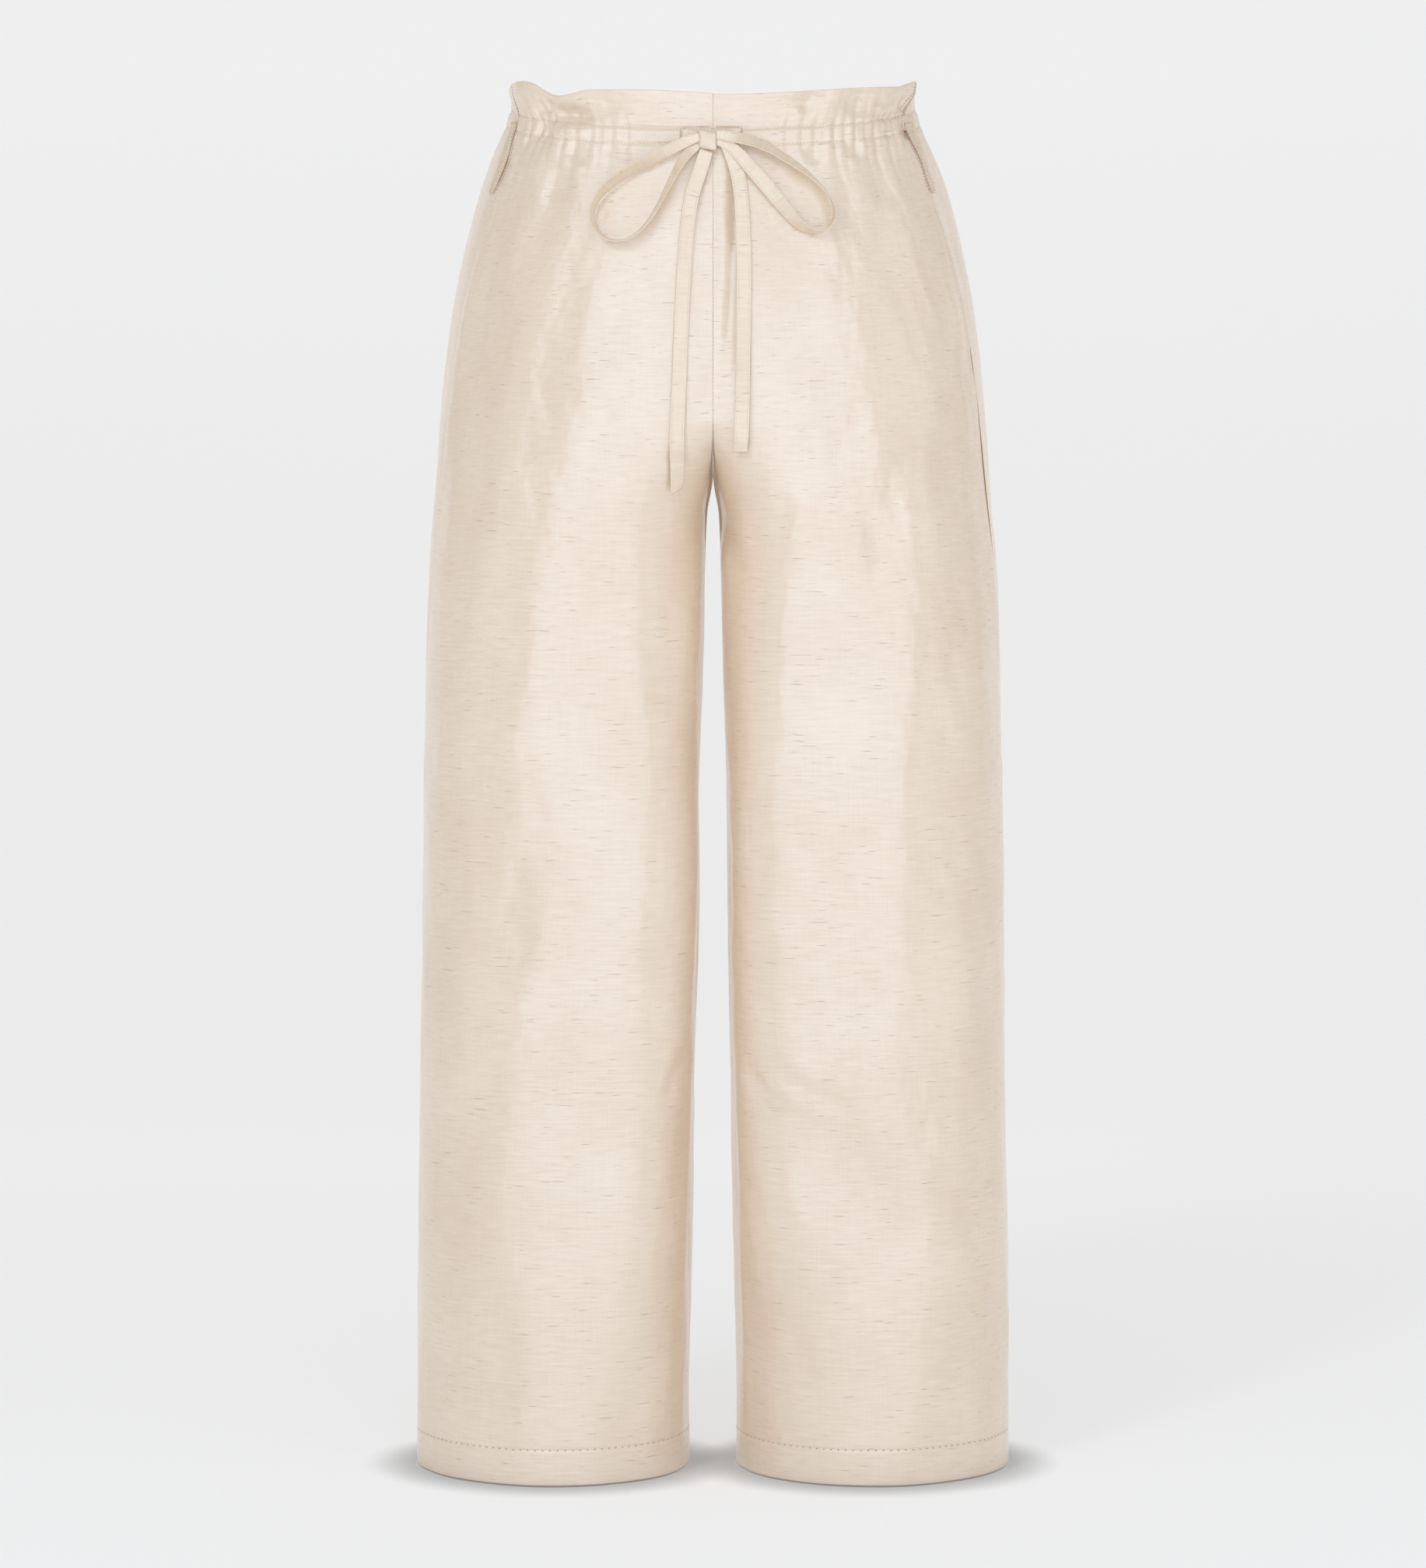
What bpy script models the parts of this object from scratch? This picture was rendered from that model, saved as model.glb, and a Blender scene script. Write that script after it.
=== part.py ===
"""Wide-leg drawstring trousers in slubbed silk, filled out as if worn with nobody inside.

Metres, +Z up. The origin is the middle of the waist, where a wearer's waist holds the garment up.
The front faces -Y, and the viewer's right, which is the wearer's left, is +X.

Four panels are cut and sewn: a front and a back for each leg, each with its own heading and casing.
Every panel is a wall lofted from the waist's ring down to the leg's ring. The drawstring is a flat
tape: a short lead out of each front slot, a knot, two loops and two tails, and a stretch that
crosses each side vent. A narrow strip finishes the back edge of each vent.
"""
import math
from collections import namedtuple

import bmesh
import bpy
from mathutils import Vector
from mathutils.bvhtree import BVHTree

MM = 0.001
RIGHT = 1
LEFT = -1

# Cloth walls.
WALL = 1.5 * MM
CASING_WALL = 1.9 * MM
HEM_WALL = 2.3 * MM
SEAM_GAP = 0.3 * MM
CLEARANCE = 0.3 * MM

# Heights at the side of the waist. The front dips below them by FRONT_DIP.
TOP_Z = 34.2 * MM
UPPER_STITCH_Z = 14.5 * MM
LOWER_STITCH_Z = 3.0 * MM
VENT_END_Z = -47.0 * MM
CROTCH_Z = -253.5 * MM
HEM_Z = -989.5 * MM
HEM_DEPTH = 26.0 * MM

FRONT_DIP = 15.5 * MM
TOP_FRONT_DIP = 10.5 * MM
BACK_DIP = 6.0 * MM
DIP_END_Z = -115.0 * MM

# The rings are rounded a little squarer than an ellipse.
BODY_POWER = 2.3
LEG_POWER = 2.15

BodyRing = namedtuple("BodyRing", "z half_width front back")
BODY_RINGS = (
    BodyRing(0.0342, 0.1482, 0.1015, 0.1010),
    BodyRing(0.0200, 0.1472, 0.0985, 0.0990),
    BodyRing(0.0090, 0.1486, 0.0985, 0.0995),
    BodyRing(0.0000, 0.1526, 0.0998, 0.1015),
    BodyRing(-0.0200, 0.1618, 0.1030, 0.1065),
    BodyRing(-0.0470, 0.1712, 0.1075, 0.1140),
    BodyRing(-0.0810, 0.1806, 0.1120, 0.1245),
    BodyRing(-0.1380, 0.1920, 0.1175, 0.1390),
    BodyRing(-0.1950, 0.1993, 0.1205, 0.1450),
    BodyRing(-0.2535, 0.2042, 0.1210, 0.1430),
    BodyRing(-0.3400, 0.2106, 0.1180, 0.1330),
    BodyRing(-0.4830, 0.2138, 0.1150, 0.1250),
    BodyRing(-0.7160, 0.2178, 0.1100, 0.1150),
    BodyRing(-0.9895, 0.2212, 0.1050, 0.1050),
)

LegRing = namedtuple("LegRing", "z inner front back inseam_turn side_turn")
LEG_RINGS = (
    LegRing(0.0342, 0.0000, 0.1150, 0.1350, 0.0, 14.0),
    LegRing(0.0090, 0.0000, 0.1150, 0.1350, 0.0, 18.5),
    LegRing(-0.0470, 0.0000, 0.1150, 0.1350, 0.0, 19.5),
    LegRing(-0.1380, 0.0000, 0.1150, 0.1350, 0.0, 18.5),
    LegRing(-0.2535, 0.0000, 0.1150, 0.1330, 0.0, 16.5),
    LegRing(-0.2820, 0.0042, 0.1130, 0.1300, 1.0, 15.5),
    LegRing(-0.3100, 0.0055, 0.1110, 0.1270, 2.5, 14.0),
    LegRing(-0.3700, 0.0070, 0.1065, 0.1200, 6.0, 6.0),
    LegRing(-0.4830, 0.0105, 0.1010, 0.1090, 13.0, -3.0),
    LegRing(-0.5900, 0.0113, 0.0980, 0.1030, 19.0, -6.0),
    LegRing(-0.7160, 0.0142, 0.0965, 0.1000, 23.0, -7.0),
    LegRing(-0.8330, 0.0165, 0.0965, 0.0985, 23.0, -8.0),
    LegRing(-0.9895, 0.0172, 0.0980, 0.0980, 23.0, -8.0),
)

# The centre seam leaves the front and the back and curves under the fork.
FRONT_FORK_RISE = 50.0 * MM
BACK_FORK_RISE = 78.0 * MM
FORK_SPREAD = 0.5
FORK_ROUND = 0.5
FORK_EASE = 1.3
FORK_EASED_SHARE = 0.22
FORK_REACH = 0.55
BLEND_ABOVE = 110.0 * MM
BLEND_BELOW = 300.0 * MM

# Gathers that the drawstring draws up, 17 to a panel.
GATHERS = 17
GATHER_DRIFTS = ((0.012, 3.1), (0.006, 7.3))
Gather = namedtuple("Gather", "z height")
GATHER_HEIGHTS = (
    Gather(0.0342, 0.0005),
    Gather(0.0240, 0.0009),
    Gather(0.0170, 0.0015),
    Gather(0.0140, 0.0016),
    Gather(0.0085, 0.0011),
    Gather(0.0030, 0.0014),
    Gather(-0.0060, 0.0013),
    Gather(-0.0180, 0.0008),
    Gather(-0.0320, 0.0003),
    Gather(-0.0470, 0.0000),
)

# Half openings of the side vents at the front and back edges, as arcs along the waist.
VentGap = namedtuple("VentGap", "z right_front right_back left_front left_back")
VENT_GAPS = (
    VentGap(0.0342, 0.0030, 0.0030, 0.0035, 0.0030),
    VentGap(0.0190, 0.0018, 0.0022, 0.0020, 0.0020),
    VentGap(0.0090, 0.0020, 0.0022, 0.0017, 0.0017),
    VentGap(0.0020, 0.0030, 0.0030, 0.0017, 0.0017),
    VentGap(-0.0090, 0.0052, 0.0040, 0.0016, 0.0014),
    VentGap(-0.0250, 0.0036, 0.0026, 0.0012, 0.0008),
    VentGap(-0.0470, 0.00015, 0.00015, 0.00015, 0.00015),
)
STRIP_WIDTH_SHARE = 0.075
STRIP_WALL = 1.0 * MM
STRIP_TOP_Z = 9.0 * MM
STRIP_END_Z = VENT_END_Z

# Waist folds: pinches and lobes of the paper-bag heading. Angles run from the front centre.
WaistFold = namedtuple("WaistFold", "side angle spread z up down depth")
WAIST_FOLDS = (
    WaistFold(LEFT, 52.0, 4.5, 0.014, 0.020, 0.034, -0.0042),
    WaistFold(LEFT, 66.0, 8.0, 0.030, 0.020, 0.016, 0.0040),
    WaistFold(LEFT, 40.0, 8.0, 0.020, 0.016, 0.006, -0.0026),
    WaistFold(LEFT, 22.0, 10.0, 0.030, 0.020, 0.018, 0.0016),
    WaistFold(LEFT, 64.0, 4.0, -0.014, 0.014, 0.026, -0.0022),
    WaistFold(RIGHT, 66.0, 4.5, 0.014, 0.018, 0.036, -0.0042),
    WaistFold(RIGHT, 73.5, 5.0, 0.030, 0.020, 0.014, 0.0036),
    WaistFold(RIGHT, 46.0, 6.0, 0.024, 0.020, 0.012, -0.0022),
    WaistFold(RIGHT, 30.0, 8.0, 0.030, 0.020, 0.016, 0.0016),
    WaistFold(RIGHT, 56.0, 4.5, -0.018, 0.014, 0.030, -0.0022),
    WaistFold(LEFT, 116.0, 6.0, 0.014, 0.020, 0.032, -0.0040),
    WaistFold(LEFT, 103.0, 6.0, 0.030, 0.020, 0.014, 0.0040),
    WaistFold(LEFT, 141.0, 8.0, 0.026, 0.020, 0.020, 0.0030),
    WaistFold(LEFT, 161.0, 6.0, 0.016, 0.020, 0.028, -0.0028),
    WaistFold(RIGHT, 110.0, 6.0, 0.014, 0.020, 0.030, -0.0036),
    WaistFold(RIGHT, 98.0, 5.0, 0.026, 0.020, 0.014, 0.0060),
    WaistFold(RIGHT, 130.0, 8.0, 0.028, 0.020, 0.018, 0.0032),
    WaistFold(RIGHT, 150.0, 6.0, 0.016, 0.020, 0.030, -0.0030),
)

# The top edge rises and dips between the pinches.
EdgeWave = namedtuple("EdgeWave", "side angle spread rise")
EDGE_WAVES = (
    EdgeWave(LEFT, 20.0, 14.0, 0.0026),
    EdgeWave(LEFT, 47.0, 6.0, -0.0042),
    EdgeWave(LEFT, 61.0, 8.0, 0.0044),
    EdgeWave(RIGHT, 40.0, 16.0, 0.0020),
    EdgeWave(RIGHT, 73.0, 6.0, 0.0030),
    EdgeWave(LEFT, 103.0, 7.0, -0.0030),
    EdgeWave(LEFT, 130.0, 9.0, -0.0040),
    EdgeWave(LEFT, 150.0, 12.0, -0.0020),
    EdgeWave(RIGHT, 98.0, 7.0, -0.0110),
    EdgeWave(RIGHT, 118.0, 9.0, -0.0024),
    EdgeWave(RIGHT, 145.0, 12.0, 0.0024),
)

# Long soft folds in the legs, each a line from one height and width share to another.
LegFold = namedtuple("LegFold", "side face top_z top_share end_z end_share width depth")
FRONT = "front"
BACK = "back"
LEG_FOLDS = (
    LegFold(LEFT, FRONT, -0.020, 0.00, -0.330, 0.00, 0.036, -0.0050),
    LegFold(RIGHT, FRONT, -0.020, 0.00, -0.330, 0.00, 0.036, -0.0050),
    LegFold(LEFT, FRONT, -0.235, 0.10, -0.420, 0.34, 0.030, -0.0030),
    LegFold(RIGHT, FRONT, -0.235, 0.10, -0.400, 0.36, 0.030, -0.0030),
    LegFold(LEFT, FRONT, -0.700, 0.16, -0.790, 0.40, 0.022, -0.0026),
    LegFold(RIGHT, FRONT, -0.705, 0.16, -0.800, 0.44, 0.024, -0.0030),
    LegFold(RIGHT, FRONT, -0.170, 0.92, -0.330, 0.93, 0.020, -0.0022),
    LegFold(RIGHT, FRONT, -0.860, 0.70, -0.945, 0.86, 0.022, -0.0022),
    LegFold(LEFT, BACK, -0.245, 0.86, -0.400, 0.62, 0.032, -0.0034),
    LegFold(RIGHT, BACK, -0.245, 0.86, -0.390, 0.60, 0.032, -0.0034),
    LegFold(LEFT, BACK, -0.620, 0.80, -0.740, 0.50, 0.028, -0.0034),
    LegFold(RIGHT, BACK, -0.640, 0.80, -0.750, 0.46, 0.028, -0.0034),
    LegFold(LEFT, BACK, -0.560, 0.22, -0.680, 0.44, 0.026, -0.0026),
    LegFold(RIGHT, BACK, -0.570, 0.20, -0.690, 0.40, 0.026, -0.0026),
)
PANEL_WIDTH = 300.0 * MM

# Wall rows: close together where the cloth is gathered and where the fork turns.
GATHERED_ROWS = (TOP_Z, 0.0275, 0.0205, 0.0168, UPPER_STITCH_Z, 0.0090, LOWER_STITCH_Z,
                 -0.0050, -0.0160, -0.0300, VENT_END_Z)
BODY_ROWS = (-0.0620, -0.0850, DIP_END_Z, -0.1500, -0.1780, -0.1920, -0.2100, -0.2260, -0.2380,
             -0.2465, -0.2515, CROTCH_Z)
THIGH_ROWS = (-0.2620, -0.2820, -0.3100, -0.3450)
LEG_ROW_STEP = 68.0 * MM
HEM_TOP_Z = HEM_Z + HEM_DEPTH
HEM_STEP = 4.0 * MM
COARSE_COLUMNS = 16
SEAM_COLUMNS = (0.02, 0.04)

# The drawstring's flat tape.
TAPE_WIDTH = 10.5 * MM
TAPE_WALL = 1.2 * MM
TAPE_STEP = 7.0 * MM
TAIL_STEP = 14.0 * MM
KNOT_SIZE = (11.6 * MM, 7.4 * MM, 13.5 * MM)
KNOT_X = -3.7 * MM
KNOT_Z = -9.0 * MM
KNOT_LIFT = 6.2 * MM
KNOT_ROUND = 2.2 * MM
KNOT_LEFT_MM = -9.8
KNOT_RIGHT_MM = 2.4

# A stop on the tape: place on the front in mm, lift off it in mm, turn on edge, share of the width.
Stop = namedtuple("Stop", "x z lift turn width")
LOOP_RIGHT = (
    Stop(KNOT_RIGHT_MM, -5.6, 8.5, 0, 0.55),
    Stop(9.0, -6.0, 8.7, 14, 0.70),
    Stop(32.9, -11.9, 9.0, 46, 0.95),
    Stop(58.3, -27.1, 9.2, 58, 1.0),
    Stop(75.2, -41.2, 8.6, 70, 1.0),
    Stop(84.0, -55.0, 7.8, 80, 1.0),
    Stop(84.0, -67.5, 7.4, 84, 1.0),
    Stop(76.3, -75.0, 7.4, 80, 1.0),
    Stop(63.9, -71.5, 7.2, 60, 1.0),
    Stop(51.5, -58.6, 6.6, 36, 1.0),
    Stop(38.6, -42.9, 6.4, 20, 1.0),
    Stop(24.5, -26.0, 6.4, 12, 0.95),
    Stop(12.6, -13.9, 6.7, 6, 0.75),
    Stop(KNOT_RIGHT_MM, -9.6, 6.8, 0, 0.55),
)
LOOP_LEFT = (
    Stop(KNOT_LEFT_MM, -7.0, 8.0, 0, 0.55),
    Stop(-20.7, -10.9, 8.6, 24, 0.80),
    Stop(-43.9, -23.2, 9.0, 46, 1.0),
    Stop(-62.2, -33.4, 9.0, 54, 1.0),
    Stop(-76.9, -45.1, 8.4, 66, 1.0),
    Stop(-84.0, -56.1, 7.8, 78, 1.0),
    Stop(-84.8, -66.4, 7.5, 84, 1.0),
    Stop(-80.3, -75.2, 7.4, 86, 1.0),
    Stop(-71.8, -80.6, 7.4, 86, 1.0),
    Stop(-61.6, -80.2, 7.4, 84, 1.0),
    Stop(-51.2, -73.6, 7.4, 80, 1.0),
    Stop(-42.7, -63.0, 7.3, 76, 1.0),
    Stop(-35.4, -50.0, 7.2, 72, 1.0),
    Stop(-28.0, -34.6, 7.0, 62, 1.0),
    Stop(-19.6, -20.6, 6.6, 34, 0.80),
    Stop(KNOT_LEFT_MM, -11.6, 6.1, 0, 0.55),
)
TAIL_LEFT = (
    Stop(-4.6, -16.8, 6.2, 0, 0.88),
    Stop(-6.2, -22.0, 5.8, 0, 0.95),
    Stop(-9.9, -33.0, 4.6, -8, 1.0),
    Stop(-15.2, -49.3, 3.0, -12, 1.0),
    Stop(-18.2, -68.2, 2.2, -10, 1.0),
    Stop(-20.3, -93.5, 1.6, -5, 1.0),
    Stop(-22.4, -133.0, 1.3, 0, 1.0),
    Stop(-24.6, -189.0, 1.9, 0, 1.0),
    Stop(-26.7, -234.0, 3.2, 0, 1.0),
    Stop(-28.4, -260.7, 4.4, 0, 1.0),
)
TAIL_RIGHT = (
    Stop(KNOT_RIGHT_MM, -7.4, 4.9, 0, 0.55),
    Stop(7.6, -10.4, 4.7, 0, 0.72),
    Stop(13.0, -20.0, 4.0, 4, 0.90),
    Stop(17.7, -34.4, 3.1, 8, 1.0),
    Stop(20.4, -54.1, 2.4, 10, 1.0),
    Stop(21.7, -76.7, 1.8, 6, 1.0),
    Stop(22.3, -104.0, 1.3, 0, 1.0),
    Stop(22.2, -133.0, 1.3, 0, 1.0),
    Stop(21.7, -178.0, 1.8, 0, 1.0),
    Stop(21.1, -212.0, 3.6, 0, 1.0),
    Stop(21.1, -232.6, 5.0, 0, 1.0),
)
LEAD_LEFT = (
    Stop(-22.2, -6.4, 2.9, 0, 0.95),
    Stop(-16.0, -6.4, 3.1, 0, 0.85),
    Stop(KNOT_LEFT_MM, -6.8, 3.2, 0, 0.66),
)
LEAD_RIGHT = (
    Stop(KNOT_RIGHT_MM, -6.2, 3.2, 0, 0.66),
    Stop(11.0, -5.6, 3.1, 0, 0.85),
    Stop(19.6, -5.6, 2.9, 0, 0.95),
)

SILK = (0.82, 0.73, 0.62, 1.0)
SILK_STRIP = (0.78, 0.68, 0.57, 1.0)
SILK_TAPE = (0.84, 0.75, 0.64, 1.0)
SILK_ROUGHNESS = 0.42


def monotone(knots, values, where):
    """Smooth value at a place between knots in falling order, never past its two neighbours."""
    if where >= knots[0]:
        return values[0]
    if where <= knots[-1]:
        return values[-1]
    low = next(i for i in range(len(knots) - 1) if where >= knots[i + 1])
    steps = [knots[i + 1] - knots[i] for i in range(len(knots) - 1)]
    slopes = [(values[i + 1] - values[i]) / steps[i] for i in range(len(steps))]

    def tangent(i):
        if i == 0:
            return slopes[0]
        if i == len(slopes):
            return slopes[-1]
        before, after = slopes[i - 1], slopes[i]
        if before * after <= 0.0:
            return 0.0
        return 2.0 * before * after / (before + after)

    step = steps[low]
    t = (where - knots[low]) / step
    return (values[low] * (2 * t**3 - 3 * t**2 + 1)
            + tangent(low) * step * (t**3 - 2 * t**2 + t)
            + values[low + 1] * (3 * t**2 - 2 * t**3)
            + tangent(low + 1) * step * (t**3 - t**2))


def read(table, column, z):
    """One named column of a table of rings, smoothly between its rows."""
    knots = [row.z for row in table]
    values = [getattr(row, column) for row in table]
    return monotone(knots, values, z)


def smoothstep(t):
    """Eases from 0 to 1 as t goes from 0 to 1."""
    t = min(1.0, max(0.0, t))
    return t * t * (3.0 - 2.0 * t)


def bump(t):
    """Smooth hump: 1 at t = 0, gone by t = -1 and t = 1."""
    return 0.0 if abs(t) >= 1.0 else (1.0 - t * t) ** 2


def ring(half_x, front, back, centre_x, angle, power):
    """Point and outward direction on a rounded ring. The angle runs from the front centre outwards."""
    sine, cosine = math.sin(angle), math.cos(angle)
    scale = (abs(sine) ** power + abs(cosine) ** power) ** (-1.0 / power)
    depth = front if cosine > 0.0 else back
    x, y = sine * scale, -cosine * scale
    out = Vector((math.copysign(abs(x) ** (power - 1), x) / half_x,
                  math.copysign(abs(y) ** (power - 1), y) / depth, 0.0))
    return Vector((centre_x + half_x * x, depth * y, 0.0)), out.normalized()


def leg_share(face, z, centre_share):
    """How far a point belongs to the leg's ring: 0 on the body, 1 on the leg.

    centre_share is 0 on the centre seam. There the share follows the fork's curve.
    """
    slow = smoothstep((CROTCH_Z + BLEND_ABOVE - z) / (BLEND_ABOVE + BLEND_BELOW))
    rise = FRONT_FORK_RISE if face == FRONT else BACK_FORK_RISE
    reach = rise + FORK_REACH * centre_share
    t = min(1.0, max(0.0, (CROTCH_Z + rise - z) / reach))
    roundness = FORK_ROUND + FORK_EASE * min(1.0, centre_share / FORK_EASED_SHARE)
    fork = 1.0 - (1.0 - t * t) ** roundness
    nearness = max(0.0, 1.0 - centre_share / FORK_SPREAD) ** 2
    return slow + (fork - slow) * nearness


def gather_phase(face, side, share):
    """Count of gathers from a panel's front edge to a width share, with uneven spacing."""
    shift = (0.17 if side == RIGHT else 0.58) + (0.0 if face == FRONT else 0.31)

    def uneven(place):
        return sum(size * math.sin(math.tau * (pace * place + shift)) for size, pace in GATHER_DRIFTS)

    start, end = uneven(0.0), uneven(1.0)
    return GATHERS * (share + uneven(share) - start - (end - start) * share)


def gather_columns(face, side):
    """Width shares of every gather's valley and ridge."""
    columns = []
    for half in range(2 * GATHERS + 1):
        low, high = 0.0, 1.0
        for _ in range(40):
            middle = 0.5 * (low + high)
            if gather_phase(face, side, middle) < 0.5 * half:
                low = middle
            else:
                high = middle
        columns.append(0.5 * (low + high))
    columns[0], columns[-1] = 0.0, 1.0
    return columns


def gather_height(face, side, z, share):
    """How far a gather stands out of the smooth wall, its ridges and valleys uneven."""
    shift = 0.23 if side == RIGHT else 0.71
    uneven = 0.72 + 0.28 * math.sin(math.tau * (5.7 * share + shift))
    edge = smoothstep(share / 0.02) * smoothstep((1.0 - share) / 0.02)
    wave = -math.cos(math.tau * gather_phase(face, side, share))
    return read(GATHER_HEIGHTS, "height", z) * uneven * edge * wave


def vertical_fade(fold, z):
    """A waist fold's strength at a height: 1 at its middle, gone past its two reaches."""
    offset = z - fold.z
    return bump(offset / fold.up) if offset > 0.0 else bump(offset / fold.down)


def waist_fold(side, degrees, z):
    """Pinches inwards and lobes outwards of the heading."""
    return sum(fold.depth * bump((degrees - fold.angle) / (2.0 * fold.spread)) * vertical_fade(fold, z)
               for fold in WAIST_FOLDS if fold.side == side)


def leg_fold(side, face, z, share):
    """Soft troughs across the legs."""
    depth = 0.0
    for fold in LEG_FOLDS:
        if fold.side != side or fold.face != face:
            continue
        along = Vector(((fold.end_share - fold.top_share) * PANEL_WIDTH, fold.end_z - fold.top_z))
        here = Vector(((share - fold.top_share) * PANEL_WIDTH, z - fold.top_z))
        t = here.dot(along) / along.length_squared
        aside = (here - along * t).length / (2.0 * fold.width)
        depth += fold.depth * bump(aside) * bump(2.0 * t - 1.0)
    return depth


def height_shift(side, degrees, z):
    """How much the waist's rows dip at the front and back, and the top edge's own waves."""
    forward = math.cos(math.radians(degrees))
    heading = smoothstep((z - UPPER_STITCH_Z) / (TOP_Z - UPPER_STITCH_Z))
    fade = smoothstep((z - DIP_END_Z) / (LOWER_STITCH_Z - DIP_END_Z))
    front = FRONT_DIP + (TOP_FRONT_DIP - FRONT_DIP) * heading
    dip = front * forward**1.2 if forward > 0.0 else BACK_DIP * (-forward) ** 1.2
    rise = sum(wave.rise * bump((degrees - wave.angle) / (2.0 * wave.spread))
               for wave in EDGE_WAVES if wave.side == side)
    return rise * heading**1.5 - dip * fade


def edge_angles(side, face, z):
    """Angles where a panel starts and ends: on the body's ring, then on the leg's ring."""
    turn = math.radians(read(LEG_RINGS, "side_turn", z))
    inseam = math.radians(read(LEG_RINGS, "inseam_turn", z))
    radius = 0.5 * (read(BODY_RINGS, "front", z) + read(BODY_RINGS, "back", z))
    half_gap = 0.5 * SEAM_GAP / radius
    side_angle = 0.5 * math.pi - turn
    column = ("right_" if side == RIGHT else "left_") + face
    vent = max(half_gap, read(VENT_GAPS, column, z) / radius)
    if face == FRONT:
        return 0.0, side_angle - vent, inseam - 0.5 * math.pi + half_gap, side_angle - vent
    return side_angle + vent, math.pi, side_angle + vent, inseam + 1.5 * math.pi - half_gap


def wall_at(z):
    """Thickness of the cloth wall at a height: more at the casing, and most at the turned hem."""
    if z < HEM_TOP_Z:
        return HEM_WALL
    if LOWER_STITCH_Z <= z <= UPPER_STITCH_Z:
        return CASING_WALL
    return WALL


def skin(side, face, z, share):
    """Outer point of a panel and the level direction out of the garment, for a row and width share."""
    body_start, body_end, leg_start, leg_end = edge_angles(side, face, z)
    body_angle = body_start + (body_end - body_start) * share
    leg_angle = leg_start + (leg_end - leg_start) * share
    outer = read(BODY_RINGS, "half_width", z)
    body, body_out = ring(outer, read(BODY_RINGS, "front", z), read(BODY_RINGS, "back", z), 0.0,
                          body_angle, BODY_POWER)
    inner = read(LEG_RINGS, "inner", z)
    leg, leg_out = ring(0.5 * (outer - inner), read(LEG_RINGS, "front", z), read(LEG_RINGS, "back", z),
                        0.5 * (outer + inner), leg_angle, LEG_POWER)
    centre_share = share if face == FRONT else 1.0 - share
    belongs = leg_share(face, z, centre_share)
    point = body.lerp(leg, belongs)
    out = (body_out * (1.0 - belongs) + leg_out * belongs).normalized()
    degrees = math.degrees(body_angle)
    away = waist_fold(side, degrees, z) + leg_fold(side, face, z, share)
    point += out * (away + gather_height(face, side, z, share))
    point.x += 0.5 * SEAM_GAP
    point.z = z + height_shift(side, degrees, z)
    return Vector((side * point.x, point.y, point.z)), Vector((side * out.x, out.y, 0.0))


class Front:
    """The two front panels' outer faces, for the tape that lies on them."""

    def __init__(self, panels):
        points, faces = [], []
        for panel in panels:
            first = len(points)
            points += [vertex.co.copy() for vertex in panel.data.vertices]
            faces += [[first + index for index in face.vertices] for face in panel.data.polygons]
        self.tree = BVHTree.FromPolygons(points, faces)

    def point(self, x, z):
        """Point of the outer face at a place seen from the front."""
        hit = self.tree.ray_cast(Vector((x, -1.0, z)), Vector((0.0, 1.0, 0.0)))[0]
        return hit if hit is not None else Vector((x, -read(BODY_RINGS, "front", z), z))

    def out(self, x, z):
        """Level direction out of the front, smooth across its facets."""
        left, right = self.point(x - TAPE_WIDTH, z), self.point(x + TAPE_WIDTH, z)
        across = right - left
        return Vector((across.y, -across.x, 0.0)).normalized()

    def clear_point(self, x, z, half_width):
        """Point that a flat tape of this half width clears, and the direction out of the front."""
        middle, out = self.point(x, z), self.out(x, z)
        tops = [(self.point(x + half_width * share, z) - middle).dot(out)
                for share in (-1.0, -0.6, -0.3, 0.3, 0.6, 1.0)]
        return middle + out * max(0.0, *tops), out


def finish_object(name, mesh, material, collection):
    """Adds a mesh to the garment under its name, with its finish."""
    mesh.materials.append(material)
    thing = bpy.data.objects.new(name, mesh)
    collection.objects.link(thing)
    mesh.shade_smooth()
    return thing


def zip_rows(bm, first, second, first_shares, second_shares):
    """Faces between two rows of points, quads where they match and triangles where they do not."""
    if len(first) == len(second):
        for i in range(len(first) - 1):
            bm.faces.new((first[i], first[i + 1], second[i + 1], second[i]))
        return
    i = j = 0
    while i < len(first) - 1 or j < len(second) - 1:
        take_first = j == len(second) - 1
        if not take_first and i < len(first) - 1:
            take_first = first_shares[i + 1] <= second_shares[j + 1]
        if take_first:
            bm.faces.new((first[i], first[i + 1], second[j]))
            i += 1
        else:
            bm.faces.new((first[i], second[j + 1], second[j]))
            j += 1


def wall_mesh(name, rows):
    """Closed wall from rows of (share, outer point, inner point), one row for each height."""
    bm = bmesh.new()
    outer = [[bm.verts.new(point[1]) for point in row] for row in rows]
    inner = [[bm.verts.new(point[2]) for point in row] for row in rows]
    shares = [[point[0] for point in row] for row in rows]
    for skin_rows in (outer, inner):
        for k in range(len(rows) - 1):
            zip_rows(bm, skin_rows[k], skin_rows[k + 1], shares[k], shares[k + 1])
    for k in (0, len(rows) - 1):
        zip_rows(bm, outer[k], inner[k], shares[k], shares[k])
    for column in (0, -1):
        for k in range(len(rows) - 1):
            bm.faces.new((outer[k][column], outer[k + 1][column], inner[k + 1][column], inner[k][column]))
    bmesh.ops.triangulate(bm, faces=bm.faces)
    bmesh.ops.recalc_face_normals(bm, faces=bm.faces)
    mesh = bpy.data.meshes.new(name)
    bm.to_mesh(mesh)
    bm.free()
    return mesh


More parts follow.
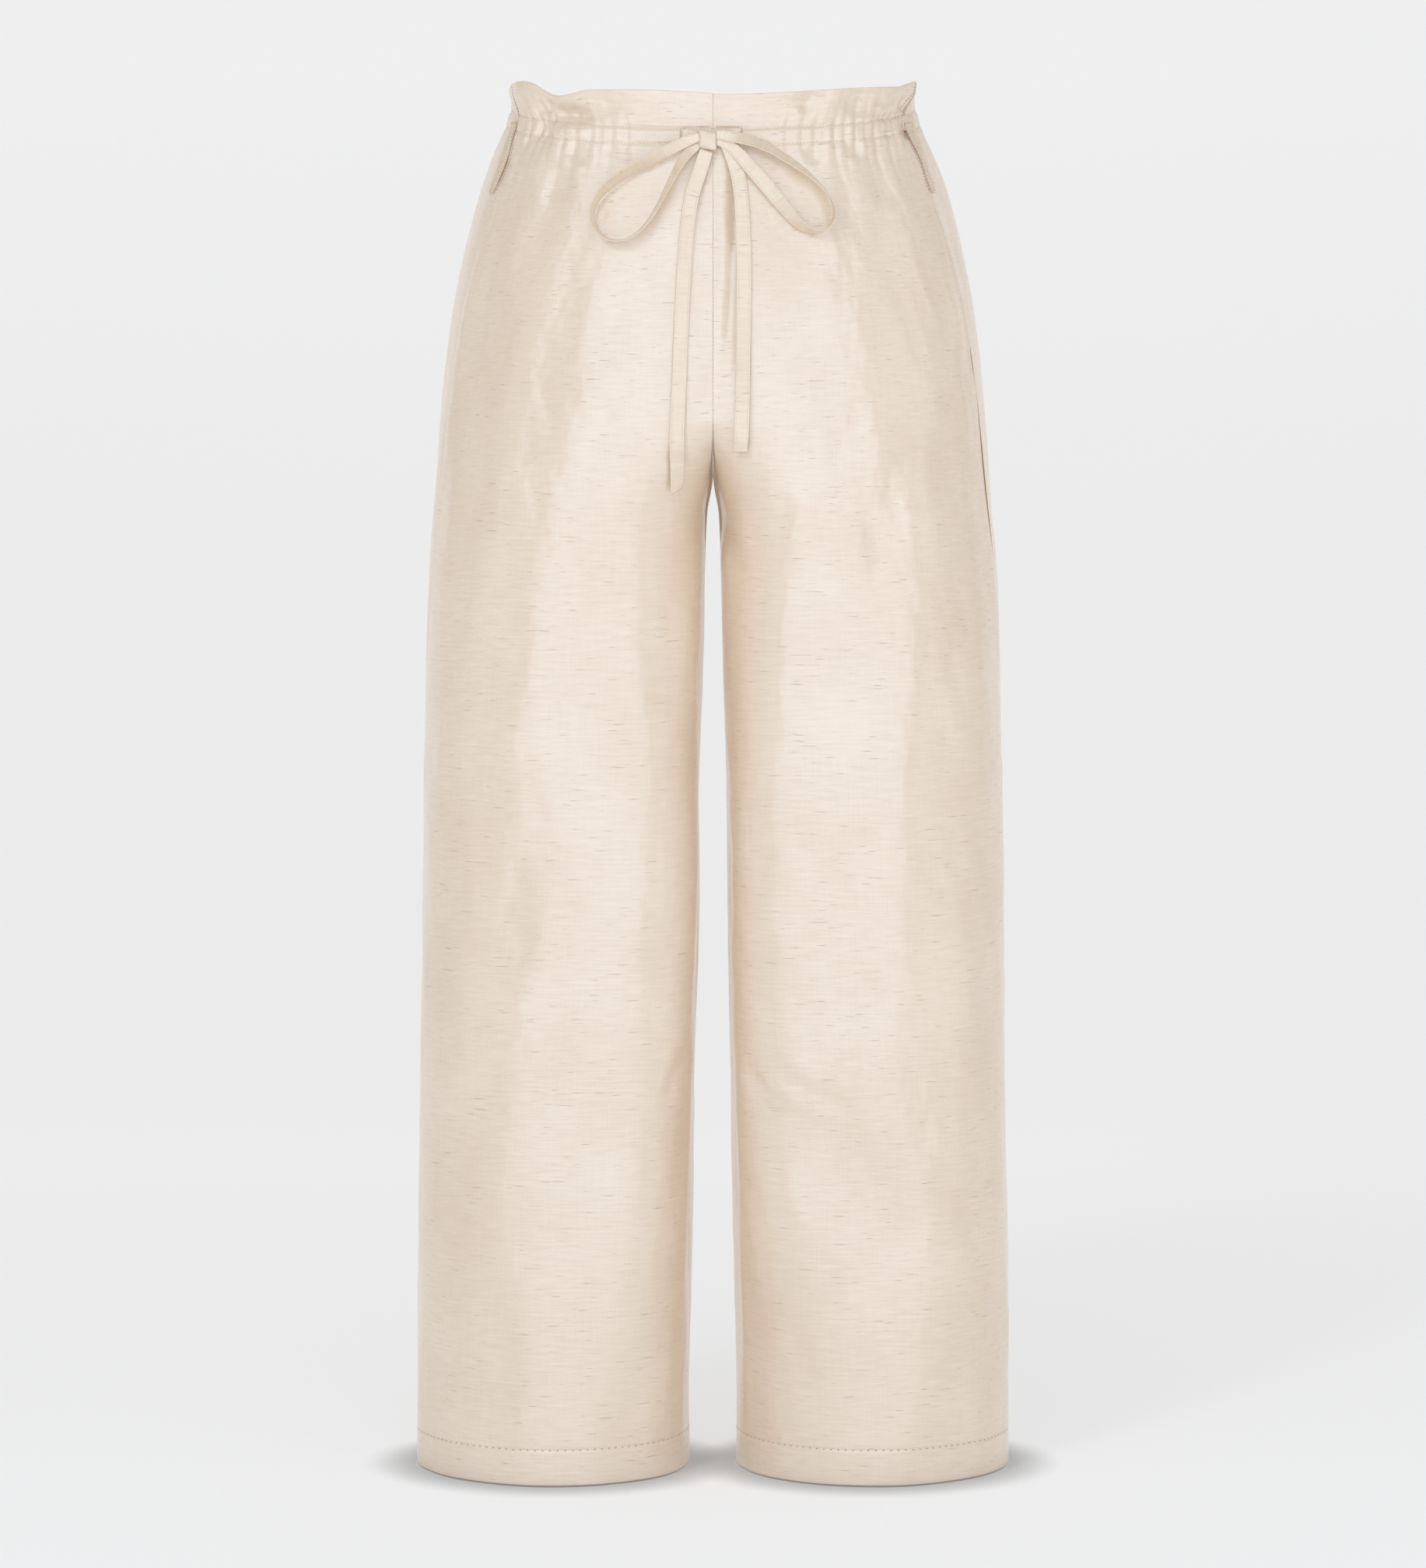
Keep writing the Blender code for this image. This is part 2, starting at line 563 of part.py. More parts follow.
def panel_rows():
    """Every row's height below the gathered waist, from the body down to the hem's edge."""
    rows = list(BODY_ROWS + THIGH_ROWS)
    count = round((rows[-1] - HEM_TOP_Z) / LEG_ROW_STEP)
    step = (rows[-1] - HEM_TOP_Z) / count
    start = rows[-1]
    rows += [start - step * k for k in range(1, count)]
    return rows + [HEM_TOP_Z + HEM_STEP, HEM_TOP_Z - 0.5 * MM, HEM_Z]


def build_panel(name, side, face, material, collection):
    """One panel: heading, casing, body and leg in one cut piece."""
    fine = gather_columns(face, side)
    coarse = [k / COARSE_COLUMNS for k in range(COARSE_COLUMNS + 1)]
    coarse = sorted(coarse + [share if face == FRONT else 1.0 - share for share in SEAM_COLUMNS])
    rows = []
    for heights, shares in ((GATHERED_ROWS, fine), (panel_rows(), coarse)):
        for z in heights:
            row = []
            for share in shares:
                point, out = skin(side, face, z, share)
                row.append((share, point, point - out * wall_at(z)))
            rows.append(row)
    return finish_object(name, wall_mesh(name, rows), material, collection)


def build_vent_strip(name, side, material, collection):
    """Narrow strip on the back panel along the vent, made from the panel's points, moved out."""
    shares = [share for share in gather_columns(BACK, side) if share <= STRIP_WIDTH_SHARE]
    rows = []
    for z in GATHERED_ROWS:
        if STRIP_END_Z <= z <= STRIP_TOP_Z:
            row = []
            for share in shares:
                point, out = skin(side, BACK, z, share)
                row.append((share, point + out * (CLEARANCE + STRIP_WALL), point + out * CLEARANCE))
            rows.append(row)
    return finish_object(name, wall_mesh(name, rows), material, collection)


def build_vent_tie(name, side, material, collection):
    """Stretch of the drawstring between the casing's two ends at a vent."""
    rows = []
    for z in (LOWER_STITCH_Z + MM, 0.5 * (LOWER_STITCH_Z + UPPER_STITCH_Z), UPPER_STITCH_Z - MM):
        front, front_out = skin(side, FRONT, z, 1.0)
        back, back_out = skin(side, BACK, z, 0.0)
        along = (back - front).normalized()
        out = (front_out + back_out).normalized()
        front += along * CLEARANCE
        back -= along * CLEARANCE
        row = [(share, front.lerp(back, share) - out * 0.2 * MM,
                front.lerp(back, share) - out * (0.2 * MM + TAPE_WALL)) for share in (0.0, 1.0)]
        rows.append(row)
    return finish_object(name, wall_mesh(name, rows), material, collection)


def catmull_rom(before, start, end, after, t):
    """Value on a smooth curve between start and end."""
    return 0.5 * (2.0 * start + (end - before) * t
                  + (2.0 * before - 5.0 * start + 4.0 * end - after) * t * t
                  + (3.0 * start - before - 3.0 * end + after) * t**3)


def tape_samples(stops, spacing):
    """Stops read from a smooth curve through the given ones, at about one spacing."""
    samples = []
    for k in range(len(stops) - 1):
        around = [stops[min(len(stops) - 1, max(0, k + offset))] for offset in (-1, 0, 1, 2)]
        length = math.hypot(stops[k + 1].x - stops[k].x, stops[k + 1].z - stops[k].z) * MM
        count = max(1, round(length / spacing))
        for step in range(count):
            samples.append(Stop(*(catmull_rom(*column, step / count) for column in zip(*around))))
    samples.append(stops[-1])
    return samples


def tape_direction(samples, middles, k):
    """Direction along the tape at a sample. It meets the knot's two sides squarely."""
    ahead = middles[min(k + 1, len(middles) - 1)] - middles[max(k - 1, 0)]
    if samples[k].x in (KNOT_LEFT_MM, KNOT_RIGHT_MM):
        ahead = Vector((ahead.x, 0.0, 0.0))
    return ahead.normalized()


def build_tape(name, front, stops, spacing, material, collection):
    """A stretch of flat tape along its stops, lofted from one flat cut to the next."""
    samples = tape_samples(stops, spacing)
    middles, outs = [], []
    for stop in samples:
        lying = 0.5 * TAPE_WIDTH * stop.width * math.cos(math.radians(stop.turn))
        place, out = front.clear_point(stop.x * MM, stop.z * MM, lying)
        middles.append(place + out * stop.lift * MM)
        outs.append(out)
    rows = []
    for k, stop in enumerate(samples):
        along = tape_direction(samples, middles, k)
        out = (outs[k] - along * outs[k].dot(along)).normalized()
        aside = along.cross(out)
        turn = math.radians(stop.turn)
        wide = aside * math.cos(turn) + out * math.sin(turn)
        thick = along.cross(wide)
        half = 0.5 * TAPE_WIDTH * stop.width
        row = []
        for share in (0.0, 1.0):
            edge = middles[k] + wide * half * (2.0 * share - 1.0)
            row.append((share, edge + thick * 0.5 * TAPE_WALL, edge - thick * 0.5 * TAPE_WALL))
        rows.append(row)
    return finish_object(name, wall_mesh(name, rows), material, collection)


def build_knot(name, front, material, collection):
    """The knot: a rounded lump of wrapped tape in front of the casing."""
    place, out = front.clear_point(KNOT_X, KNOT_Z, 0.5 * KNOT_SIZE[0])
    bpy.ops.mesh.primitive_cube_add(size=1.0, location=place + out * KNOT_LIFT)
    knot = bpy.context.active_object
    knot.name = name
    knot.data.name = name
    knot.scale = KNOT_SIZE
    bpy.ops.object.transform_apply(location=False, rotation=False, scale=True)
    rounded = knot.modifiers.new("Rounded", "BEVEL")
    rounded.width = KNOT_ROUND
    rounded.segments = 3
    knot.data.materials.append(material)
    for home in list(knot.users_collection):
        home.objects.unlink(knot)
    collection.objects.link(knot)
    return knot


def silk(name, colour):
    """Slubbed silk: a soft sheen on a pale ivory weave."""
    material = bpy.data.materials.new(name)
    material.use_nodes = True
    shader = material.node_tree.nodes["Principled BSDF"]
    shader.inputs["Base Color"].default_value = colour
    shader.inputs["Roughness"].default_value = SILK_ROUGHNESS
    shader.inputs["Metallic"].default_value = 0.0
    return material


def main():
    """Clears the scene and builds every piece of the trousers."""
    for thing in list(bpy.data.objects):
        bpy.data.objects.remove(thing, do_unlink=True)
    trousers = bpy.data.collections.new("drawstring_trousers")
    bpy.context.scene.collection.children.link(trousers)

    panels = {}
    for side, word in ((RIGHT, "right"), (LEFT, "left")):
        for face in (FRONT, BACK):
            name = f"{face}_{word}"
            panels[name] = build_panel(name, side, face, silk(f"silk_{name}", SILK), trousers)
        strip = f"vent_strip_{word}"
        build_vent_strip(strip, side, silk(f"silk_{strip}", SILK_STRIP), trousers)
        crossing = f"tie_vent_{word}"
        build_vent_tie(crossing, side, silk(f"silk_{crossing}", SILK_TAPE), trousers)

    front = Front([panels["front_left"], panels["front_right"]])
    for name, stops, spacing in (
        ("tie_loop_right", LOOP_RIGHT, TAPE_STEP),
        ("tie_loop_left", LOOP_LEFT, TAPE_STEP),
        ("tie_tail_right", TAIL_RIGHT, TAIL_STEP),
        ("tie_tail_left", TAIL_LEFT, TAIL_STEP),
        ("tie_lead_right", LEAD_RIGHT, TAPE_STEP),
        ("tie_lead_left", LEAD_LEFT, TAPE_STEP),
    ):
        build_tape(name, front, stops, spacing, silk(f"silk_{name}", SILK_TAPE), trousers)
    build_knot("tie_knot", front, silk("silk_tie_knot", SILK_TAPE), trousers)


main()
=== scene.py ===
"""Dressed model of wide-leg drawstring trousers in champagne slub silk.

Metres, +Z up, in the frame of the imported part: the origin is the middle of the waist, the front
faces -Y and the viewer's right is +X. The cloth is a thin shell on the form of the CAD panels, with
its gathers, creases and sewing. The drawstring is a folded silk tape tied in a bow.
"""
import logging
import math
from dataclasses import dataclass, field
from enum import Enum
from typing import NamedTuple

import bmesh
import bpy
import numpy as np
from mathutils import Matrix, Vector
from mathutils.bvhtree import BVHTree


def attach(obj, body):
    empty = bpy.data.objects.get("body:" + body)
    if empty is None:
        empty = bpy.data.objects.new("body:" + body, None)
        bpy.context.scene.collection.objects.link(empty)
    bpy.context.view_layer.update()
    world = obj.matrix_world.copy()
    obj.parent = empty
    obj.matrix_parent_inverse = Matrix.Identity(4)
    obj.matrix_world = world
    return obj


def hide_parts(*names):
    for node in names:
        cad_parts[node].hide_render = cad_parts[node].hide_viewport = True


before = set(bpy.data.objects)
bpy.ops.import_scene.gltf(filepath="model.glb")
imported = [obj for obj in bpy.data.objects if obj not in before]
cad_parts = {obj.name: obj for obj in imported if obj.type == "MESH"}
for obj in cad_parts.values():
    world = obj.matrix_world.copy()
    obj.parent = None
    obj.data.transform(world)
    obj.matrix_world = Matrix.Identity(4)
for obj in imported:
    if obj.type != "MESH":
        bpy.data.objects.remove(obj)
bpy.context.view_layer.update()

log = logging.getLogger("trousers")

MM = 0.001
BODY = "root"
Array = np.ndarray
Point = tuple[float, float, float]
Socket = bpy.types.NodeSocket


class Side(Enum):
    """Leg of the garment, as the viewer sees it from the front."""

    RIGHT = 1
    LEFT = -1

    @property
    def word(self) -> str:
        """Word for this side in piece names."""
        return self.name.lower()


class Face(Enum):
    """Which of a leg's two panels."""

    FRONT = "front"
    BACK = "back"


class Layer(Enum):
    """Where a row of a panel lies: on the outside, or on the allowance turned in at an end."""

    OUTSIDE = 0
    HEADING_FACING = 1
    HEM_FACING = 2


# Heights of the pattern's lines at the side of the waist, as in the part's source.
TOP_Z = 34.2 * MM
UPPER_STITCH_Z = 14.5 * MM
LOWER_STITCH_Z = 3.0 * MM
VENT_END_Z = -40.0 * MM
CROTCH_Z = -253.5 * MM
HEM_Z = -989.5 * MM
HEM_DEPTH = 26.0 * MM
FRONT_DIP = 15.5 * MM
TOP_FRONT_DIP = 10.5 * MM
BACK_DIP = 6.0 * MM
DIP_END_Z = -115.0 * MM
SEAM_GAP = 0.06 * MM

BODY_POWER = 2.3
LEG_POWER = 2.15
FRONT_FORK_RISE = 50.0 * MM
BACK_FORK_RISE = 78.0 * MM
FORK_SPREAD = 0.5
FORK_ROUND = 0.5
FORK_EASE = 1.3
FORK_EASED_SHARE = 0.22
FORK_REACH = 0.55
BLEND_ABOVE = 110.0 * MM
BLEND_BELOW = 300.0 * MM
PANEL_WIDTH = 300.0 * MM
GATHERS = 17
GATHER_DRIFTS = ((0.012, 3.1), (0.006, 7.3))

# Colour sockets of a Mix node by number, because its other types' sockets share their names.
MIX_FACTOR, MIX_A, MIX_B, MIX_RESULT = 0, 6, 7, 2
# Where each kind of piece starts on the silk's pattern, in metres, so that no two show the same slubs.
PANEL_GRAIN_STEP = 0.7
TAPE_GRAIN = 3.3
KNOT_GRAIN = 9.1
STRIP_GRAIN = 12.0
VENT_TIE_GRAIN = 15.0
WELD_DISTANCE = 1e-7
TINY = 1e-6
FIRST_SEED = 40
SEED_STEP = 101


class BodyRing(NamedTuple):
    """Ring round the waist and hips at one height."""

    z: float
    half_width: float
    front: float
    back: float


class LegRing(NamedTuple):
    """Ring round one leg at one height, and how far its two seams are turned, in degrees."""

    z: float
    inner: float
    front: float
    back: float
    inseam_turn: float
    side_turn: float


class VentGap(NamedTuple):
    """Half openings of the side vents at one height, as arcs along the waist."""

    z: float
    right_front: float
    right_back: float
    left_front: float
    left_back: float


class WaistFold(NamedTuple):
    """Pinch or lobe of the heading. Its angle runs from the front centre."""

    side: Side
    angle: float
    spread: float
    z: float
    up: float
    down: float
    depth: float


class EdgeWave(NamedTuple):
    """Rise or dip of the heading's top edge."""

    side: Side
    angle: float
    spread: float
    rise: float


class LegFold(NamedTuple):
    """Long soft trough from one height and share of a panel's width to another."""

    side: Side
    face: Face
    top_z: float
    top_share: float
    end_z: float
    end_share: float
    width: float
    depth: float


class Crease(NamedTuple):
    """Small sharp fold along points (x, z) in millimetres, seen from the front or the back."""

    face: Face
    width: float
    depth: float
    points: tuple[tuple[float, float], ...]


class Swell(NamedTuple):
    """Kind of slow unevenness: how many waves, their lengths across and upright, and their size."""

    count: int
    across: tuple[float, float]
    upright: tuple[float, float]
    size: float


class Stop(NamedTuple):
    """Place on the tape: x, z and lift off the front in mm, turn on edge, share of the width."""

    x: float
    z: float
    lift: float
    turn: float
    width: float


BODY_RINGS = (
    BodyRing(0.0342, 0.1482, 0.1015, 0.1010),
    BodyRing(0.0200, 0.1472, 0.0985, 0.0990),
    BodyRing(0.0090, 0.1486, 0.0985, 0.0995),
    BodyRing(0.0000, 0.1526, 0.0998, 0.1015),
    BodyRing(-0.0200, 0.1618, 0.1030, 0.1065),
    BodyRing(-0.0470, 0.1712, 0.1075, 0.1140),
    BodyRing(-0.0810, 0.1806, 0.1120, 0.1245),
    BodyRing(-0.1380, 0.1920, 0.1175, 0.1390),
    BodyRing(-0.1950, 0.1993, 0.1205, 0.1450),
    BodyRing(-0.2535, 0.2042, 0.1210, 0.1430),
    BodyRing(-0.3400, 0.2106, 0.1180, 0.1330),
    BodyRing(-0.4830, 0.2138, 0.1150, 0.1250),
    BodyRing(-0.7160, 0.2178, 0.1100, 0.1150),
    BodyRing(-0.9895, 0.2212, 0.1050, 0.1050),
)
LEG_RINGS = (
    LegRing(0.0342, 0.0000, 0.1150, 0.1350, 0.0, 14.5),
    LegRing(0.0090, 0.0000, 0.1150, 0.1350, 0.0, 21.0),
    LegRing(-0.0470, 0.0000, 0.1150, 0.1350, 0.0, 24.5),
    LegRing(-0.1380, 0.0000, 0.1150, 0.1350, 0.0, 20.0),
    LegRing(-0.2535, 0.0000, 0.1150, 0.1330, 0.0, 16.5),
    LegRing(-0.2820, 0.0042, 0.1130, 0.1300, 1.0, 15.5),
    LegRing(-0.3100, 0.0055, 0.1110, 0.1270, 2.5, 14.0),
    LegRing(-0.3700, 0.0070, 0.1065, 0.1200, 6.0, 6.0),
    LegRing(-0.4830, 0.0105, 0.1010, 0.1090, 13.0, -3.0),
    LegRing(-0.5900, 0.0113, 0.0980, 0.1030, 19.0, -6.0),
    LegRing(-0.7160, 0.0142, 0.0965, 0.1000, 23.0, -7.0),
    LegRing(-0.8330, 0.0165, 0.0965, 0.0985, 23.0, -8.0),
    LegRing(-0.9895, 0.0172, 0.0980, 0.0980, 23.0, -8.0),
)
VENT_GAPS = (
    VentGap(0.0342, 0.0030, 0.0030, 0.0035, 0.0030),
    VentGap(0.0190, 0.0018, 0.0022, 0.0020, 0.0020),
    VentGap(0.0090, 0.0020, 0.0022, 0.0017, 0.0017),
    VentGap(0.0020, 0.0030, 0.0030, 0.0017, 0.0017),
    VentGap(-0.0090, 0.0052, 0.0040, 0.0016, 0.0014),
    VentGap(-0.0230, 0.0036, 0.0026, 0.0012, 0.0008),
    VentGap(-0.0400, 0.00015, 0.00015, 0.00015, 0.00015),
)
L, R = Side.LEFT, Side.RIGHT
F, B = Face.FRONT, Face.BACK
WAIST_FOLDS = (
    WaistFold(L, 52.0, 4.5, 0.014, 0.020, 0.034, -0.0042),
    WaistFold(L, 66.0, 8.0, 0.030, 0.020, 0.016, 0.0040),
    WaistFold(L, 40.0, 8.0, 0.020, 0.016, 0.006, -0.0026),
    WaistFold(L, 22.0, 10.0, 0.030, 0.020, 0.018, 0.0016),
    WaistFold(L, 64.0, 4.0, -0.014, 0.014, 0.026, -0.0022),
    WaistFold(R, 66.0, 4.5, 0.014, 0.018, 0.036, -0.0042),
    WaistFold(R, 73.5, 5.0, 0.030, 0.020, 0.014, 0.0036),
    WaistFold(R, 46.0, 6.0, 0.024, 0.020, 0.012, -0.0022),
    WaistFold(R, 30.0, 8.0, 0.030, 0.020, 0.016, 0.0016),
    WaistFold(R, 56.0, 4.5, -0.018, 0.014, 0.030, -0.0022),
    WaistFold(L, 116.0, 6.0, 0.014, 0.020, 0.032, -0.0040),
    WaistFold(L, 103.0, 6.0, 0.030, 0.020, 0.014, 0.0040),
    WaistFold(L, 141.0, 8.0, 0.026, 0.020, 0.020, 0.0030),
    WaistFold(L, 161.0, 6.0, 0.016, 0.020, 0.028, -0.0028),
    WaistFold(R, 110.0, 6.0, 0.014, 0.020, 0.030, -0.0036),
    WaistFold(R, 98.0, 5.0, 0.026, 0.020, 0.014, 0.0005),
    WaistFold(R, 130.0, 8.0, 0.028, 0.020, 0.018, 0.0032),
    WaistFold(R, 150.0, 6.0, 0.016, 0.020, 0.030, -0.0030),
)
EDGE_WAVES = (
    EdgeWave(L, 20.0, 14.0, 0.0026),
    EdgeWave(L, 47.0, 6.0, -0.0042),
    EdgeWave(L, 61.0, 8.0, 0.0044),
    EdgeWave(R, 40.0, 16.0, 0.0020),
    EdgeWave(R, 73.0, 6.0, 0.0030),
    EdgeWave(L, 103.0, 7.0, -0.0030),
    EdgeWave(L, 130.0, 9.0, -0.0040),
    EdgeWave(L, 150.0, 12.0, -0.0020),
    EdgeWave(R, 98.0, 7.0, -0.0110),
    EdgeWave(R, 118.0, 9.0, -0.0024),
    EdgeWave(R, 145.0, 12.0, 0.0024),
)
LEG_FOLDS = (
    LegFold(L, F, -0.020, 0.00, -0.330, 0.00, 0.036, -0.0050),
    LegFold(R, F, -0.020, 0.00, -0.330, 0.00, 0.036, -0.0050),
    LegFold(L, F, -0.235, 0.10, -0.420, 0.34, 0.030, -0.0030),
    LegFold(R, F, -0.235, 0.10, -0.400, 0.36, 0.030, -0.0030),
    LegFold(L, F, -0.240, 0.62, -1.000, 0.52, 0.034, -0.0045),
    LegFold(L, F, -0.700, 0.16, -0.790, 0.40, 0.022, -0.0026),
    LegFold(R, F, -0.705, 0.16, -0.800, 0.44, 0.024, -0.0030),
    LegFold(R, F, -0.170, 0.92, -0.330, 0.93, 0.020, -0.0022),
    LegFold(R, F, -0.860, 0.70, -0.945, 0.86, 0.022, -0.0022),
    LegFold(L, B, -0.245, 0.86, -0.400, 0.62, 0.032, -0.0034),
    LegFold(R, B, -0.245, 0.86, -0.390, 0.60, 0.032, -0.0034),
    LegFold(L, B, -0.620, 0.80, -0.740, 0.50, 0.028, -0.0034),
    LegFold(R, B, -0.640, 0.80, -0.750, 0.46, 0.028, -0.0034),
    LegFold(L, B, -0.560, 0.22, -0.680, 0.44, 0.026, -0.0026),
    LegFold(R, B, -0.570, 0.20, -0.690, 0.40, 0.026, -0.0026),
)
CREASES = (
    Crease(F, 1.6, 0.45, ((-17.8, -666.4), (-49.0, -674.4), (-82.9, -680.1), (-122.5, -682.9))),
    Crease(F, 1.6, 0.45, ((19.0, -659.0), (47.3, -672.1), (112.3, -676.1), (168.9, -680.1))),
    Crease(F, 5.0, 1.30, ((-20.7, -665.8), (-27.5, -690.0), (-37.1, -714.9))),
    Crease(F, 5.0, 1.50, ((21.8, -679.5), (35.0, -698.0), (54.7, -715.5))),
    Crease(F, 6.0, 0.80, ((38.8, -680.1), (72.0, -700.0), (109.6, -714.3))),
    Crease(F, 4.5, 2.4, (
        (13.5, -6.0), (15.0, -40.0), (15.8, -79.0), (14.0, -125.0), (11.8, -160.0), (7.8, -196.0))),
    Crease(F, 5.0, 0.90, ((-6.5, -249.1), (-20.0, -241.0), (-37.3, -232.3))),
    Crease(F, 6.0, 1.00, ((4.8, -271.5), (13.0, -300.0), (24.5, -333.4))),
    Crease(F, 6.0, 0.60, ((52.5, -260.0), (53.0, -274.0), (52.5, -288.0))),
    Crease(F, 6.0, 0.90, ((184.0, -153.9), (186.9, -172.0), (184.0, -190.0))),
    Crease(F, 6.0, 1.00, ((203.0, -440.0), (206.0, -456.0), (202.0, -474.0))),
    Crease(F, 7.0, 1.10, ((196.0, -617.0), (203.0, -636.0), (212.4, -656.1))),
    Crease(F, 2.4, 2.1, ((-122.0, 9.7), (-124.8, 15.9), (-128.1, 20.9))),
    Crease(F, 2.2, 1.6, ((-120.3, 9.2), (-117.5, 15.9), (-118.6, 21.4))),
    Crease(F, 2.4, 2.9, ((-122.6, 7.5), (-125.4, -2.0), (-127.6, -9.8))),
    Crease(F, 2.6, 2.9, ((-120.3, 7.4), (-120.3, -3.2), (-117.5, -15.4))),
    Crease(F, 5.5, 4.6, ((-117.9, 7.9), (-101.6, 9.0), (-84.3, 6.8))),
    Crease(F, 3.5, 0.9, ((-80.2, -13.4), (-68.0, -18.4), (-55.1, -24.5))),
    Crease(F, 3.2, 0.8, ((-111.1, -16.7), (-104.4, -18.3), (-96.6, -21.7))),
    Crease(F, 2.6, 1.6, ((-135.9, 8.9), (-137.6, 2.8), (-138.2, -3.4))),
    Crease(F, 2.6, 1.6, ((-130.1, 8.3), (-131.3, 2.7), (-131.3, -4.0))),
    Crease(F, 3.4, 0.9, ((-80.8, 19.9), (-74.1, 16.0), (-66.8, 11.6))),
    Crease(F, 3.4, 0.9, ((-104.4, 21.2), (-108.9, 15.1), (-112.3, 9.5))),
    Crease(F, 2.6, 0.8, ((-128.3, -4.1), (-136.8, -12.5), (-144.1, -20.9))),
    Crease(F, 8.0, 1.5, ((-117.9, -14.4), (-113.5, -33.9), (-109.0, -55.7))),
    Crease(F, 6.0, 1.8, ((-101.0, -8.9), (-97.7, -18.9), (-95.4, -29.0))),
    Crease(F, 8.0, 1.1, ((-149.1, -17.3), (-153.7, -29.6), (-157.1, -44.2))),
    Crease(F, 3.2, 3.5, ((134.4, 9.2), (127.1, 8.1), (117.6, 5.9))),
    Crease(F, 3.0, 2.9, ((135.7, 10.5), (139.6, 18.8), (142.4, 26.1))),
    Crease(F, 7.0, 3.0, ((76.7, 28.7), (69.5, 19.3), (62.3, 9.8))),
    Crease(F, 7.0, 3.0, ((110.4, 28.9), (103.2, 18.9), (95.4, 8.9))),
    Crease(F, 3.0, 2.4, ((132.2, 7.0), (127.7, -1.4), (125.5, -9.8))),
    Crease(F, 3.0, 2.2, ((136.3, 7.1), (138.6, -0.7), (144.2, -9.1))),
    Crease(F, 8.0, 1.7, ((115.2, -11.0), (119.7, -31.1), (131.0, -57.9))),
    Crease(F, 5.0, 1.8, ((99.3, -7.8), (101.6, -15.6), (102.7, -23.4))),
    Crease(F, 5.0, 1.6, ((69.0, -11.2), (72.4, -19.0), (73.5, -27.9))),
    Crease(B, 7.0, 1.30, ((14.0, -262.0), (44.0, -276.0), (88.0, -284.0))),
    Crease(B, 7.0, 1.30, ((-14.0, -260.0), (-48.0, -274.0), (-92.0, -280.0))),
    Crease(B, 6.0, 1.20, ((26.0, -640.0), (58.0, -662.0), (104.0, -676.0))),
    Crease(B, 6.0, 1.10, ((-24.0, -632.0), (-60.0, -650.0), (-110.0, -658.0))),
    Crease(B, 6.0, 1.00, ((-180.0, -600.0), (-150.0, -622.0), (-112.0, -636.0))),
    Crease(B, 6.0, 1.00, ((184.0, -608.0), (152.0, -626.0), (120.0, -640.0))),
)
SWELLS = (
    Swell(7, (0.055, 0.13), (0.25, 0.7), 0.45 * MM),
    Swell(18, (0.020, 0.06), (0.035, 0.16), 0.06 * MM),
    Swell(16, (0.007, 0.018), (0.012, 0.05), 0.022 * MM),
)
SLOT_BARS_MM = (-23.4, -21.0, 18.4, 20.8)
KNOT_LEFT_MM = -9.8
KNOT_RIGHT_MM = 2.4
LOOP_RIGHT = (
    Stop(KNOT_RIGHT_MM, -5.6, 8.5, 0, 0.55),
    Stop(9.0, -6.0, 8.7, 14, 0.70),
    Stop(32.9, -11.9, 9.0, 46, 0.95),
    Stop(58.3, -27.1, 9.2, 58, 1.0),
    Stop(75.2, -41.2, 8.6, 70, 1.0),
    Stop(84.0, -55.0, 7.8, 80, 1.0),
    Stop(84.0, -67.5, 7.4, 84, 1.0),
    Stop(76.3, -75.0, 7.4, 80, 1.0),
    Stop(63.9, -71.5, 7.2, 60, 1.0),
    Stop(51.5, -58.6, 6.6, 36, 1.0),
    Stop(38.6, -42.9, 6.4, 20, 1.0),
    Stop(24.5, -26.0, 6.4, 12, 0.95),
    Stop(12.6, -13.9, 6.7, 6, 0.75),
    Stop(KNOT_RIGHT_MM, -9.6, 6.8, 0, 0.55),
)
LOOP_LEFT = (
    Stop(KNOT_LEFT_MM, -7.0, 8.0, 0, 0.55),
    Stop(-20.7, -10.9, 8.6, 24, 0.80),
    Stop(-43.9, -23.2, 9.0, 46, 1.0),
    Stop(-62.2, -33.4, 9.0, 54, 1.0),
    Stop(-76.9, -45.1, 8.4, 66, 1.0),
    Stop(-84.0, -56.1, 7.8, 78, 1.0),
    Stop(-84.8, -66.4, 7.5, 84, 1.0),
    Stop(-80.3, -75.2, 7.4, 86, 1.0),
    Stop(-71.8, -80.6, 7.4, 86, 1.0),
    Stop(-61.6, -80.2, 7.4, 84, 1.0),
    Stop(-51.2, -73.6, 7.4, 80, 1.0),
    Stop(-42.7, -63.0, 7.3, 76, 1.0),
    Stop(-35.4, -50.0, 7.2, 72, 1.0),
    Stop(-28.0, -34.6, 7.0, 62, 1.0),
    Stop(-19.6, -20.6, 6.6, 34, 0.80),
    Stop(KNOT_LEFT_MM, -11.6, 6.1, 0, 0.55),
)
TAIL_LEFT = (
    Stop(-4.6, -16.8, 6.2, 0, 0.88),
    Stop(-6.2, -22.0, 5.8, 0, 0.95),
    Stop(-9.9, -33.0, 4.6, -8, 1.0),
    Stop(-15.2, -49.3, 3.0, -12, 1.0),
    Stop(-18.2, -68.2, 2.2, -10, 1.0),
    Stop(-20.3, -93.5, 1.6, -5, 1.0),
    Stop(-22.4, -133.0, 1.3, 0, 1.0),
    Stop(-24.6, -189.0, 1.9, 0, 1.0),
    Stop(-26.7, -234.0, 3.2, 0, 1.0),
    Stop(-28.4, -260.7, 4.4, 0, 1.0),
)
